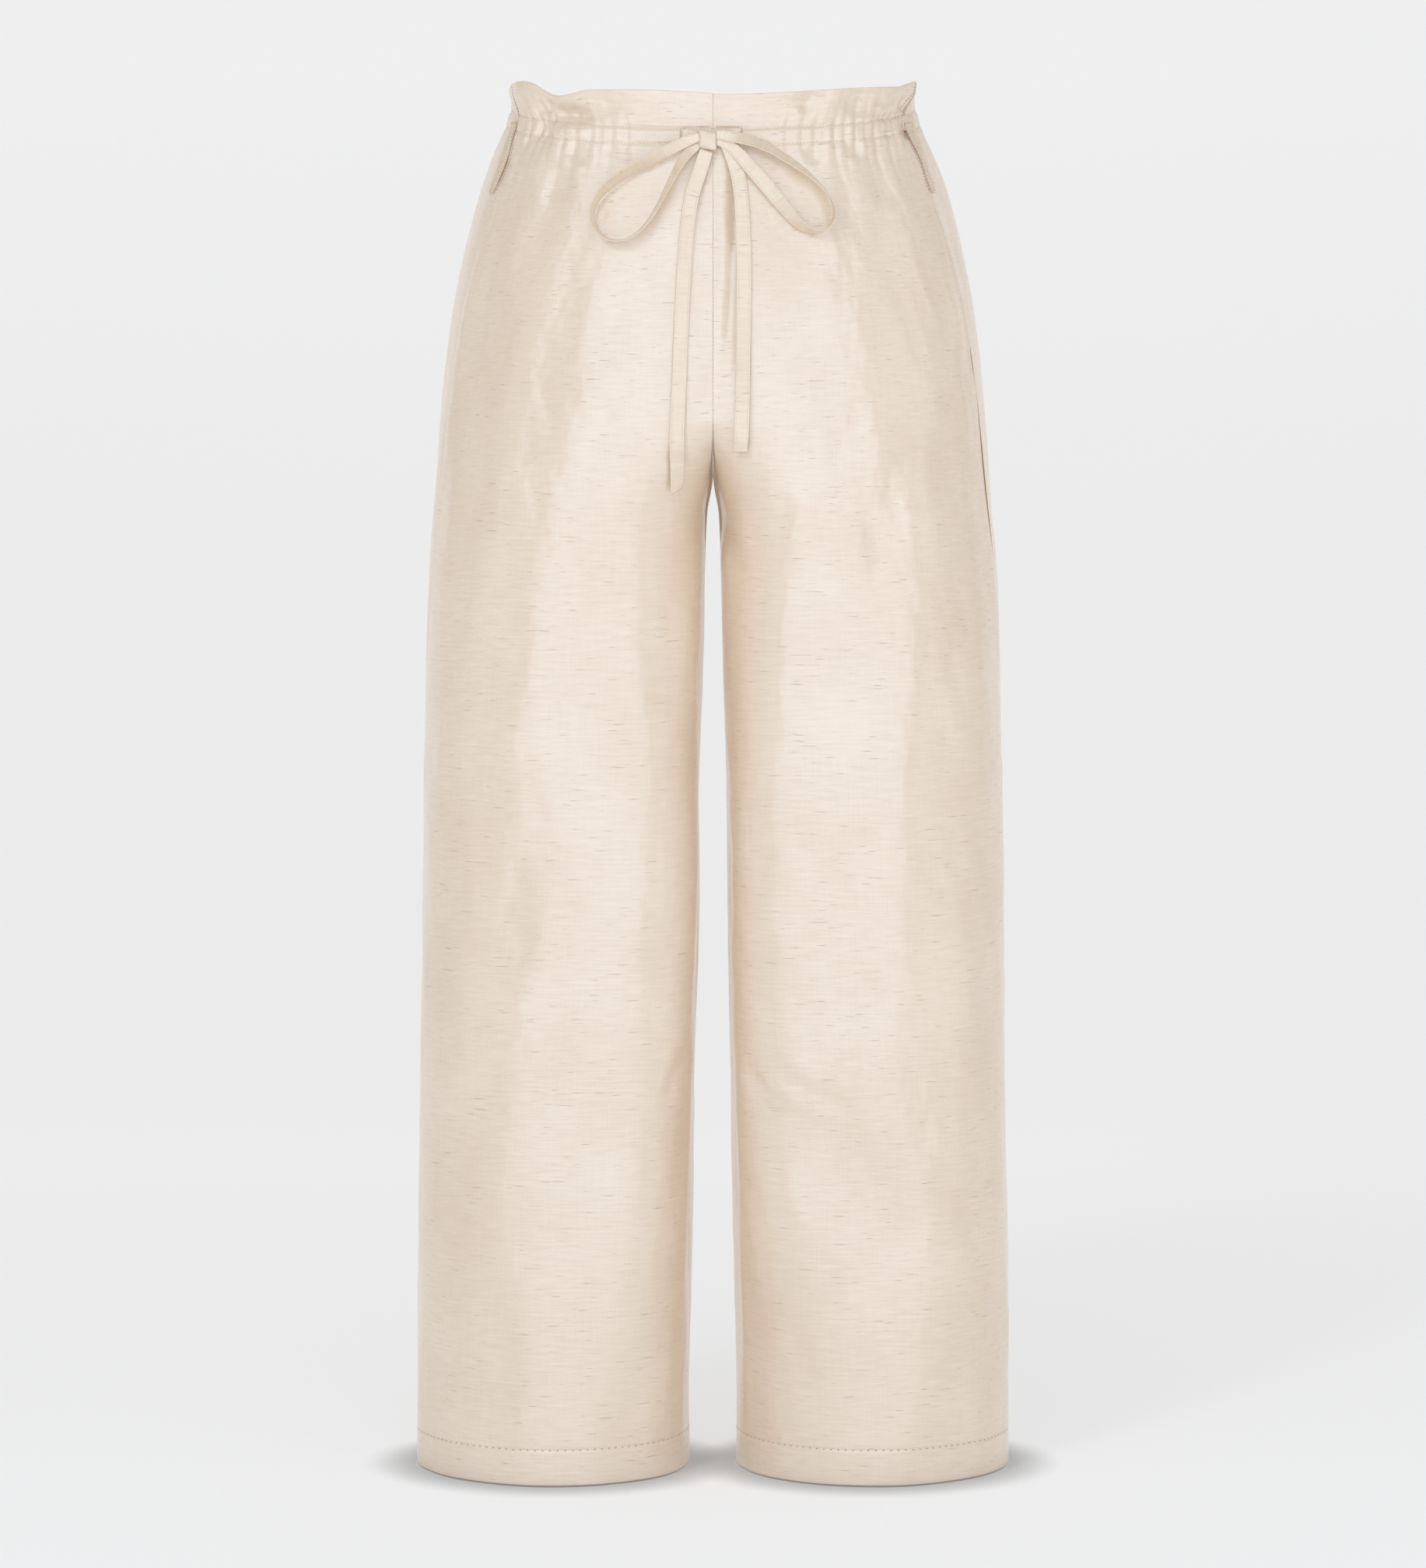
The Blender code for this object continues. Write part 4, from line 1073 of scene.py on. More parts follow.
def settle(piece: bpy.types.Object) -> bpy.types.Object:
    """Turns a piece's modifiers into plain mesh.

    Args:
        piece: object with modifiers.

    Returns:
        The same object, without them.
    """
    evaluated = piece.evaluated_get(bpy.context.evaluated_depsgraph_get())
    mesh = bpy.data.meshes.new_from_object(evaluated)
    mesh.name = piece.name
    piece.modifiers.clear()
    piece.data = mesh
    return piece


def grid_mesh(name: str, points: Array, grain: Array, flip: bool) -> bpy.types.Mesh:
    """Open sheet of quads over a grid of points, with its UV map in metres along the grain.

    Args:
        name: mesh name.
        points: rows by columns by 3.
        grain: rows by columns by 2.
        flip: turns the faces over.

    Returns:
        The mesh.
    """
    rows, columns = points.shape[:2]
    index = np.arange(rows * columns).reshape(rows, columns)
    corners = [index[:-1, :-1], index[:-1, 1:], index[1:, 1:], index[1:, :-1]]
    if flip:
        corners.reverse()
    faces = np.stack(corners, axis=-1).reshape(-1, 4)
    mesh = bpy.data.meshes.new(name)
    mesh.from_pydata(points.reshape(-1, 3).tolist(), [], faces.tolist())
    layer = mesh.uv_layers.new(name="grain")
    layer.uv.foreach_set("vector", grain.reshape(-1, 2)[faces.reshape(-1)].astype(np.float32).ravel())
    return mesh


def stitch_tree() -> bpy.types.NodeTree:
    """Geometry Nodes that lay stitches along a line, flat on the cloth.

    Returns:
        A tree with inputs for the pitch, a stitch's length, width and height, and the thread.
    """
    tree = bpy.data.node_groups.new("stitches_along_a_line", "GeometryNodeTree")
    face = tree.interface
    face.new_socket("Line", in_out="INPUT", socket_type="NodeSocketGeometry")
    for name in ("Pitch", "Length", "Width", "Height"):
        face.new_socket(name, in_out="INPUT", socket_type="NodeSocketFloat").default_value = MM
    face.new_socket("Thread", in_out="INPUT", socket_type="NodeSocketMaterial")
    face.new_socket("Stitches", in_out="OUTPUT", socket_type="NodeSocketGeometry")
    given = node(tree, "NodeGroupInput").outputs
    curve = node(tree, "GeometryNodeMeshToCurve", {"Mesh": given["Line"]})
    spaced = node(tree, "GeometryNodeResampleCurve", {
        "Curve": curve.outputs["Curve"], "Length": given["Pitch"]}, mode="LENGTH")
    bead = node(tree, "GeometryNodeMeshUVSphere", {"Segments": 6, "Rings": 5, "Radius": 0.5})
    size = node(tree, "ShaderNodeCombineXYZ", {0: given["Length"], 1: given["Width"], 2: given["Height"]})
    along = node(tree, "FunctionNodeAlignRotationToVector", {
        "Vector": node(tree, "GeometryNodeInputTangent").outputs["Tangent"]}, axis="X")
    out = node(tree, "GeometryNodeInputNamedAttribute", {"Name": "out"}, data_type="FLOAT_VECTOR")
    flat = node(tree, "FunctionNodeAlignRotationToVector", {
        "Rotation": along.outputs["Rotation"], "Vector": out.outputs["Attribute"]}, axis="Z", pivot_axis="X")
    placed = node(tree, "GeometryNodeInstanceOnPoints", {
        "Points": spaced.outputs["Curve"], "Instance": bead.outputs["Mesh"],
        "Rotation": flat.outputs["Rotation"], "Scale": size.outputs["Vector"]})
    real = node(tree, "GeometryNodeRealizeInstances", {"Geometry": placed.outputs["Instances"]})
    dressed = node(tree, "GeometryNodeSetMaterial", {
        "Geometry": real.outputs["Geometry"], "Material": given["Thread"]})
    node(tree, "NodeGroupOutput", {"Stitches": dressed.outputs["Geometry"]})
    return tree


@dataclass
class StitchLine:
    """Rows of stitches of one kind, on lines that lie on the cloth."""

    name: str
    pitch: float = 3.0 * MM
    length: float = 1.9 * MM
    width: float = 0.45 * MM
    height: float = 0.35 * MM
    # A shaded line takes the darker thread, which is painted shade on its stitches.
    shaded: bool = False
    lines: list[tuple[Array, Array]] = field(default_factory=list)

    def add(self, points: Array, outs: Array) -> None:
        """Adds one line of points with the directions out of the cloth."""
        self.lines.append((points, outs))

    def build(self, tree: bpy.types.NodeTree, thread: bpy.types.Material) -> bpy.types.Object:
        """Lays the stitches.

        Args:
            tree: the stitches' Geometry Nodes.
            thread: their finish.

        Returns:
            One plain mesh piece.
        """
        points = np.concatenate([line[0] for line in self.lines])
        outs = np.concatenate([line[1] for line in self.lines])
        edges, first = [], 0
        for line, _ in self.lines:
            edges += [(first + k, first + k + 1) for k in range(len(line) - 1)]
            first += len(line)
        mesh = bpy.data.meshes.new(self.name)
        mesh.from_pydata(points.tolist(), edges, [])
        mesh.attributes.new("out", "FLOAT_VECTOR", "POINT").data.foreach_set(
            "vector", outs.astype(np.float32).ravel())
        piece = add_object(self.name, mesh, None)
        modifier = piece.modifiers.new("Stitches", "NODES")
        modifier.node_group = tree
        values = {"Pitch": self.pitch, "Length": self.length, "Width": self.width,
                  "Height": self.height, "Thread": thread}
        for socket in tree.interface.items_tree:
            if socket.in_out == "INPUT" and socket.name in values:
                modifier[socket.identifier] = values[socket.name]
        settle(piece)
        piece.data.shade_smooth()
        return piece


@dataclass
class Panel:
    """One cut panel of a leg, from the heading's facing over the casing to the turned-up hem."""

    side: Side
    face: Face
    silk: bpy.types.Material
    cloth_thickness: float = 0.45 * MM
    fold_radius: float = 0.6 * MM
    facing_end_z: float = 1.0 * MM
    hem_dent: float = 0.45 * MM
    hem_dent_reach: float = 1.6 * MM
    hem_rows_mm: tuple[float, ...] = (2.0, 1.2, 0.6, 0.0, -0.6, -1.2, -2.0)
    edge_columns: tuple[float, ...] = (0.0, 0.0006, 0.0013, 0.0024, 0.004, 0.0065)
    inner_start: float = 0.012
    columns: int = 118
    flat_width: float = 0.335
    flat_length: float = 1.085
    flat_area: float = 0.325

    def __post_init__(self) -> None:
        """Numbers the panel, which seeds its form."""
        self.number = [(side, face) for side in Side for face in Face].index((self.side, self.face))
        self.form = Form(self.side, self.face, FIRST_SEED + self.number)

    @property
    def node_name(self) -> str:
        """Name of the CAD node that this panel stands for."""
        return f"{self.face.value}_{self.side.word}"

    def shares(self) -> Array:
        """Spaces the columns: close together at the rolled seam edges.

        Returns:
            Their shares of the panel's width.
        """
        close = np.array(self.edge_columns)
        inner = np.linspace(self.inner_start, 1.0 - self.inner_start, self.columns - 2 * len(close))
        return np.concatenate([close, inner, 1.0 - close[::-1]])

    def rows(self) -> list[tuple[float, float, Layer]]:
        """Lists the rows of the panel's grid, from the heading's facing to the hem's.

        Returns:
            Height, distance in from the outer face and layer of each.
        """
        radius = self.fold_radius
        hem_line = HEM_Z + HEM_DEPTH
        bends = np.radians((0.0, 30.0, 60.0, 90.0, 120.0, 150.0, 180.0))
        rows = [(z, 2.0 * radius, Layer.HEADING_FACING)
                for z in np.linspace(self.facing_end_z, TOP_Z - radius, 16)[:-1]]
        rows += [(TOP_Z - radius * (1.0 - math.sin(bend)), radius * (1.0 + math.cos(bend)), Layer.OUTSIDE)
                 for bend in bends]
        # Start, end and step of the bands of rows on the outside: closest at the gathers and the fork.
        bands = (
            (TOP_Z - radius - 1.0 * MM, -0.028, -0.95 * MM),
            (-0.0290, -0.062, -1.6 * MM),
            (-0.0640, -0.240, -3.6 * MM),
            (-0.2410, -0.300, -2.6 * MM),
            (-0.3030, hem_line + 3.0 * MM, -4.1 * MM),
        )
        heights = np.concatenate([
            *(np.arange(*band) for band in bands),
            hem_line + np.array(self.hem_rows_mm) * MM,
            np.arange(hem_line - 4.0 * MM, HEM_Z + radius, -2.4 * MM),
        ])
        rows += [(z, 0.0, Layer.OUTSIDE) for z in heights]
        rows += [(HEM_Z + radius * (1.0 - math.sin(bend)), radius * (1.0 - math.cos(bend)), Layer.OUTSIDE)
                 for bend in bends]
        rows += [(z, 2.0 * radius, Layer.HEM_FACING)
                 for z in np.linspace(HEM_Z + radius, hem_line, 9)[1:]]
        return rows

    def build(self) -> bpy.types.Object:
        """Makes the panel as a closed thin shell.

        Returns:
            The piece.
        """
        shares = self.shares()
        rows = self.rows()
        z = np.repeat(np.array([row[0] for row in rows])[:, None], len(shares), axis=1)
        share = np.repeat(shares[None, :], len(rows), axis=0)
        inset = np.repeat(np.array([row[1] for row in rows])[:, None], len(shares), axis=1)
        points, outs = self.form.skin(z, share)
        edge = np.minimum(share, 1.0 - share) * PANEL_WIDTH
        roll = self.form.seam_roll
        rolled = roll - np.sqrt(np.maximum(0.0, roll**2 - np.maximum(0.0, roll - edge) ** 2))
        outside = np.array([row[2] is Layer.OUTSIDE for row in rows])[:, None]
        dent = self.hem_dent * bump((z - HEM_Z - HEM_DEPTH) / self.hem_dent_reach)
        depth = inset + np.where(outside, rolled + dent, 0.0)
        points = points - outs * depth[..., None]
        grain = np.stack([share * PANEL_WIDTH + PANEL_GRAIN_STEP * self.number, z], axis=-1)
        mesh = grid_mesh(f"{self.node_name}_panel", points, grain, self.side is Side.RIGHT)
        piece = add_object(f"{self.node_name}_panel", mesh, self.silk)
        shell = piece.modifiers.new("Cloth", "SOLIDIFY")
        shell.thickness = self.cloth_thickness
        shell.offset = -1.0
        shell.use_rim = True
        return settle(piece)

    def dress(self, piece: bpy.types.Object) -> None:
        """Tells the frame what the panel is.

        Args:
            piece: the built panel.
        """
        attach(piece, BODY)
        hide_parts(self.node_name)


class Surface:
    """Outer faces of some panels, for what lies on them."""

    missed_y: float = -0.1

    def __init__(self, panels: list[bpy.types.Object]) -> None:
        """Reads the faces of built panels.

        Args:
            panels: their pieces.
        """
        points, faces = [], []
        for panel in panels:
            first = len(points)
            points += [vertex.co.copy() for vertex in panel.data.vertices]
            faces += [[first + index for index in polygon.vertices] for polygon in panel.data.polygons]
        self.tree = BVHTree.FromPolygons(points, faces)

    def point(self, x: float, z: float) -> Vector:
        """Point of the front's outer face at a place seen from the front, in metres."""
        hit = self.tree.ray_cast(Vector((x, -1.0, z)), Vector((0.0, 1.0, 0.0)))[0]
        return hit if hit is not None else Vector((x, self.missed_y, z))

    def out(self, x: float, z: float, reach: float) -> Vector:
        """Level direction out of the front at a place, smoothed over a reach to both sides."""
        across = self.point(x + reach, z) - self.point(x - reach, z)
        return Vector((across.y, -across.x, 0.0)).normalized()


def catmull_rom(before: float, start: float, end: float, after: float, t: float) -> float:
    """Reads a smooth curve through four even stops.

    Args:
        before: value at the stop before the start.
        start: value where the stretch starts.
        end: value where it ends.
        after: value at the stop past the end.
        t: how far along the stretch, from 0 to 1.

    Returns:
        The value there.
    """
    return 0.5 * (2.0 * start + (end - before) * t
                  + (2.0 * before - 5.0 * start + 4.0 * end - after) * t * t
                  + (3.0 * start - before - 3.0 * end + after) * t**3)


def close_tube(mesh: bpy.types.Mesh, rows: int, columns: int) -> None:
    """Joins a rolled-up grid's two long edges and fills its two ends, with faces outwards.

    Args:
        mesh: the grid's mesh, changed in place.
        rows: the grid's rows.
        columns: its columns, of which the last lies on the first.
    """
    work = bmesh.new()
    work.from_mesh(mesh)
    work.verts.ensure_lookup_table()
    layer = work.loops.layers.uv.active
    for row in (0, rows - 1):
        rim = [work.verts[row * columns + column] for column in range(columns - 1)]
        for k in range((columns - 1) // 2 - 1):
            made = work.faces.new((rim[k], rim[k + 1], rim[columns - 3 - k], rim[columns - 2 - k]))
            for loop in made.loops:
                loop[layer].uv = (loop.vert.co.x, loop.vert.co.z)
    bmesh.ops.remove_doubles(work, verts=work.verts, dist=WELD_DISTANCE)
    bmesh.ops.recalc_face_normals(work, faces=work.faces)
    work.to_mesh(mesh)
    work.free()


def rolled_piece(name: str, around: Array, across: Array, along: Array,
                 silk: bpy.types.Material) -> bpy.types.Object:
    """Makes a closed piece of rolled or folded cloth.

    Args:
        name: the piece's name.
        around: rows of points round it, of which each row's last lies on its first.
        across: place of each column on the cloth's grain.
        along: place of each row on it.
        silk: the piece's finish.

    Returns:
        The piece.
    """
    rows, columns = around.shape[:2]
    grain = np.stack([np.broadcast_to(across, (rows, columns)),
                      np.broadcast_to(along[:, None], (rows, columns))], axis=-1)
    mesh = grid_mesh(name, around, grain, False)
    close_tube(mesh, rows, columns)
    return add_object(name, mesh, silk)


@dataclass
class Tape:
    """A stretch of the drawstring: a folded, pressed and edge-stitched silk tape."""

    node_name: str
    stops: tuple[Stop, ...]
    silk: bpy.types.Material
    width: float = 10.5 * MM
    half_thickness: float = 0.40 * MM
    edge_stitch: float = 1.3 * MM
    spacing: float = 1.6 * MM
    smoothing_widths: float = 1.2
    bearing_shares: tuple[float, ...] = (-1.0, -0.6, -0.3, 0.3, 0.6, 1.0)
    stitch_height: float = 0.75
    wrinkle: float = 0.16 * MM
    curl_pace: float = 0.0075
    curl_beat: float = 0.011
    crown_pace: float = 0.013
    wobble_degrees: float = 3.0
    wobble_pace: float = 0.021
    seed: int = 1
    end_slant: float = 0.0
    slant_reach: float = 9.0 * MM
    slant_samples: int = 12
    path: list[Point] = field(default_factory=list)
    edges: list[tuple[Array, Array]] = field(default_factory=list)

    def samples(self) -> list[Stop]:
        """Reads stops from a smooth curve through the given ones.

        Returns:
            Stops at about one spacing.
        """
        found = []
        for k in range(len(self.stops) - 1):
            around = [self.stops[min(len(self.stops) - 1, max(0, k + step))] for step in (-1, 0, 1, 2)]
            length = math.hypot(self.stops[k + 1].x - self.stops[k].x,
                                self.stops[k + 1].z - self.stops[k].z) * MM
            count = max(2, round(length / self.spacing))
            for step in range(count):
                found.append(Stop(*(catmull_rom(*column, step / count) for column in zip(*around))))
        return found + [self.stops[-1]]

    def section(self) -> Array:
        """Shape of the flat tape: thin at its edges, with a dent at each row of edge stitches.

        Returns:
            Places across it as shares of its half width, each with its share of the thickness.
        """
        dent = 1.0 - 2.0 * self.edge_stitch / self.width
        half = [(0.4, 0.95), (dent - 0.06, 0.92), (dent, 0.72), (dent + 0.05, 1.0), (0.97, 0.95), (1.0, 0.5)]
        return np.array([(-share, depth) for share, depth in reversed(half)] + [(0.0, 0.9)] + half)

    def build(self, surface: Surface) -> bpy.types.Object:
        """Makes the tape over the front.

        Args:
            surface: the front panels.

        Returns:
            The piece. Its middle line stays in path, and its rows of edge stitches in edges.
        """
        samples = self.samples()
        middles, outs = [], []
        for stop in samples:
            x, z = stop.x * MM, stop.z * MM
            half = 0.5 * self.width * stop.width * math.cos(math.radians(stop.turn))
            place, out = surface.point(x, z), surface.out(x, z, self.smoothing_widths * self.width)
            rise = max(0.0, *((surface.point(x + half * share, z) - place).dot(out)
                              for share in self.bearing_shares))
            middles.append(place + out * (rise + stop.lift * MM))
            outs.append(out)
        middles = [sum((middles[min(len(middles) - 1, max(0, k + step))] for step in (-2, -1, 0, 1, 2)),
                       Vector()) / 5.0 if 2 <= k < len(middles) - 2 else middles[k]
                   for k in range(len(middles))]
        draw = np.random.default_rng(self.seed)
        phases = draw.uniform(0.0, math.tau, 6)
        top, bottom, wides, thicks = [], [], [], []
        section = self.section()
        run = 0.0
        lengths = []
        for k, stop in enumerate(samples):
            run += (middles[k] - middles[k - 1]).length if k else 0.0
            lengths.append(run)
            ahead = middles[min(k + 1, len(middles) - 1)] - middles[max(k - 1, 0)]
            if stop.x in (KNOT_LEFT_MM, KNOT_RIGHT_MM):
                ahead = Vector((ahead.x, 0.0, 0.0))
            along = ahead.normalized()
            out = (outs[k] - along * outs[k].dot(along)).normalized()
            aside = along.cross(out)
            wobble = self.wobble_degrees * math.sin(run / self.wobble_pace + phases[0])
            turn = math.radians(stop.turn + wobble)
            wide = aside * math.cos(turn) + out * math.sin(turn)
            thick = along.cross(wide)
            half = 0.5 * self.width * stop.width
            curl = self.wrinkle * math.sin(run / self.curl_pace + phases[1])
            crown = self.wrinkle * math.sin(run / self.crown_pace + phases[2])
            row_top, row_bottom = [], []
            left = sum((middles[j + 1] - middles[j]).length
                       for j in range(k, min(k + self.slant_samples, len(middles) - 1)))
            slant = self.end_slant * max(0.0, 1.0 - left / self.slant_reach)
            for share, depth in section:
                beat = math.sin(run / self.curl_beat + phases[3])
                bend = crown * (1.0 - share * share) + curl * share * beat
                centre = middles[k] + wide * half * share + thick * bend + along * slant * share
                row_top.append(centre + thick * self.half_thickness * depth)
                row_bottom.append(centre - thick * self.half_thickness * depth)
            top.append(row_top)
            bottom.append(row_bottom)
            wides.append(wide * half)
            thicks.append(thick)
        around = np.array([upper + lower[::-1] + upper[:1] for upper, lower in zip(top, bottom)])
        places = section[:, 0] * 0.5 * self.width
        across = np.concatenate([places, places[::-1] + self.width, [places[0] + 2.0 * self.width]])
        piece = rolled_piece(f"{self.node_name}_tape", around, across + TAPE_GRAIN + self.seed,
                             np.array(lengths), self.silk)
        self.path = [tuple(middle) for middle in middles]
        share = 1.0 - 2.0 * self.edge_stitch / self.width
        inner = range(2, len(samples) - 2)
        for sign in (-1.0, 1.0):
            for up in (-1.0, 1.0):
                line = [middles[k] + wides[k] * share * sign
                        + thicks[k] * self.half_thickness * self.stitch_height * up for k in inner]
                self.edges.append((np.array(line), np.array([thicks[k] * up for k in inner])))
        return piece


@dataclass
class Knot:
    """The knot: one turn of the tape wrapped over the bow, a little slanted and creased."""

    silk: bpy.types.Material
    node_name: str = "tie_knot"
    x: float = -3.7 * MM
    z: float = -9.0 * MM
    width: float = 12.2 * MM
    height: float = 14.0 * MM
    lift: float = 6.0 * MM
    depth: float = 8.2 * MM
    flare: float = 0.07
    lean: float = 0.03
    end_shrink: float = 0.10
    slant: float = 0.9 * MM
    upright_roundness: float = 0.55
    forward_roundness: float = 0.75
    turn_crease: float = 0.22 * MM
    turn_crease_paces: tuple[float, float] = (5.0, 2.2)
    level_crease: float = 0.16 * MM
    level_crease_pace: float = 9.0
    grain_per_turn: float = 0.0042
    smoothing: float = 0.012
    rows: int = 41
    columns: int = 48

    def build(self, surface: Surface) -> bpy.types.Object:
        """Makes the wrapped band: a flat sleeve, wider at its two ends.

        Args:
            surface: the front panels.

        Returns:
            The piece.
        """
        out = surface.out(self.x, self.z, self.smoothing)
        centre = surface.point(self.x, self.z) + out * self.lift
        right = Vector((-out.y, out.x, 0.0))
        round_pace, level_pace = self.turn_crease_paces
        points = np.zeros((self.rows, self.columns + 1, 3))
        grain = np.zeros((self.rows, self.columns + 1, 2))
        for i in range(self.rows):
            across = 2.0 * i / (self.rows - 1) - 1.0
            tall = 0.5 * self.height * (1.0 + self.flare * across * across + self.lean * across)
            shrink = 1.0 - self.end_shrink * abs(across) ** 4
            for j in range(self.columns + 1):
                turn = math.tau * j / self.columns
                sine, cosine = math.sin(turn), math.cos(turn)
                up = math.copysign(abs(cosine) ** self.upright_roundness, cosine) * tall * shrink
                ahead = math.copysign(abs(sine) ** self.forward_roundness, sine) * 0.5 * self.depth * shrink
                crease = (self.turn_crease * math.sin(turn * round_pace + across * level_pace)
                          + self.level_crease * math.sin(self.level_crease_pace * across + turn))
                points[i, j] = (centre + right * across * 0.5 * self.width
                                + Vector((0.0, 0.0, up - self.slant * across))
                                + out * (ahead + crease * max(0.0, sine)))
                grain[i, j] = (across * 0.5 * self.width + KNOT_GRAIN, turn * self.grain_per_turn)
        mesh = grid_mesh(f"{self.node_name}_wrap", points, grain, False)
        close_tube(mesh, self.rows, self.columns + 1)
        return add_object(f"{self.node_name}_wrap", mesh, self.silk)


@dataclass
class VentStrip:
    """Narrow folded strip that finishes the back edge of a side vent."""

    side: Side
    silk: bpy.types.Material
    top_z: float = 9.0 * MM
    end_z: float = VENT_END_Z - 3.5 * MM
    row_step: float = 1.1 * MM
    share: float = 0.028
    right_lead: float = 0.016
    left_lead: float = 0.007
    lead_z: float = -14.0 * MM
    lead_reach: float = 44.0 * MM
    clearance: float = 0.8 * MM
    thickness: float = 1.4 * MM
    edge_thinning: float = 0.8
    across: tuple[float, ...] = (0.0, 0.03, 0.1, 0.2, 0.35, 0.5, 0.65, 0.8, 0.9, 0.97, 1.0)
    seam_columns: tuple[int, ...] = (1, 9)
    seams: list[tuple[Array, Array]] = field(default_factory=list)

    @property
    def node_name(self) -> str:
        """Name of the CAD node that this strip stands for."""
        return f"vent_strip_{self.side.word}"

    def build(self, form: Form) -> bpy.types.Object:
        """Makes the strip over the back panel's edge.

        Args:
            form: the back panel's form.

        Returns:
            The piece. The lines of its edge stitching stay in seams, and its closing bar's in bar.
        """
        heights = np.arange(self.top_z, self.end_z - TINY, -self.row_step)
        across = np.array(self.across)
        z = np.repeat(heights[:, None], len(across), axis=1)
        lead = self.right_lead if self.side is Side.RIGHT else self.left_lead
        rise = bump((heights - self.lead_z) / self.lead_reach)[:, None]
        share = across[None, :] * self.share - lead * rise
        points, outs = form.skin(z, share)
        plump = 1.0 - self.edge_thinning * np.abs(2.0 * across - 1.0) ** 6
        outer = points + outs * (self.clearance + self.thickness * plump)[..., None]
        inner = points + outs * self.clearance
        around = np.concatenate([outer, inner[:, ::-1], outer[:, :1]], axis=1)
        places = np.concatenate([across, 2.0 - across[::-1], [2.0]]) * self.share * PANEL_WIDTH
        self.seams = [(outer[1:-1, column], outs[1:-1, column]) for column in self.seam_columns]
        self.bar = (outer[-3, 1:-1], outs[-3, 1:-1])
        return rolled_piece(f"{self.node_name}_fold", around, places + STRIP_GRAIN, heights, self.silk)


@dataclass
class VentTie:
    """Stretch of the drawstring that crosses a vent between the casing's two ends."""

    side: Side
    silk: bpy.types.Material
    thickness: float = 1.3 * MM
    margin: float = 0.6 * MM
    inset: float = 0.2 * MM
    sag: float = 0.5 * MM
    pucker: float = 0.14 * MM
    pucker_pace: float = 1.9
    length: float = 0.005
    rows: int = 13
    steps: int = 11

    @property
    def node_name(self) -> str:
        """Name of the CAD node that this stretch stands for."""
        return f"tie_vent_{self.side.word}"

    def build(self, front: Form, back: Form) -> bpy.types.Object:
        """Makes the crossing, puckered lengthwise where the casing squeezes it.

        Args:
            front: the front panel's form.
            back: the back panel's form.

        Returns:
            The piece.
        """
        heights = np.linspace(LOWER_STITCH_Z + self.margin, UPPER_STITCH_Z - self.margin, self.rows)
        fore, fore_out = front.skin(heights, np.full_like(heights, 1.0))
        aft, aft_out = back.skin(heights, np.full_like(heights, 0.0))
        out = unit(fore_out + aft_out)
        along = np.linspace(0.0, 1.0, self.steps)
        rows_outer, rows_inner = [], []
        for share in along:
            line = fore + (aft - fore) * share
            beat = np.sin(np.arange(self.rows) * self.pucker_pace + 2.0 * share)
            pucker = self.pucker * np.maximum(0.0, beat)
            depth = self.inset + self.sag * math.sin(math.pi * share)
            rows_outer.append(line - out * (depth - pucker[:, None]))
            rows_inner.append(line - out * (depth + self.thickness))
        outer, inner = np.array(rows_outer), np.array(rows_inner)
        around = np.concatenate([outer, inner[:, ::-1], outer[:, :1]], axis=1)
        across = np.arange(around.shape[1]) * MM + VENT_TIE_GRAIN
        return rolled_piece(f"{self.node_name}_tape", around, across, along * self.length, self.silk)


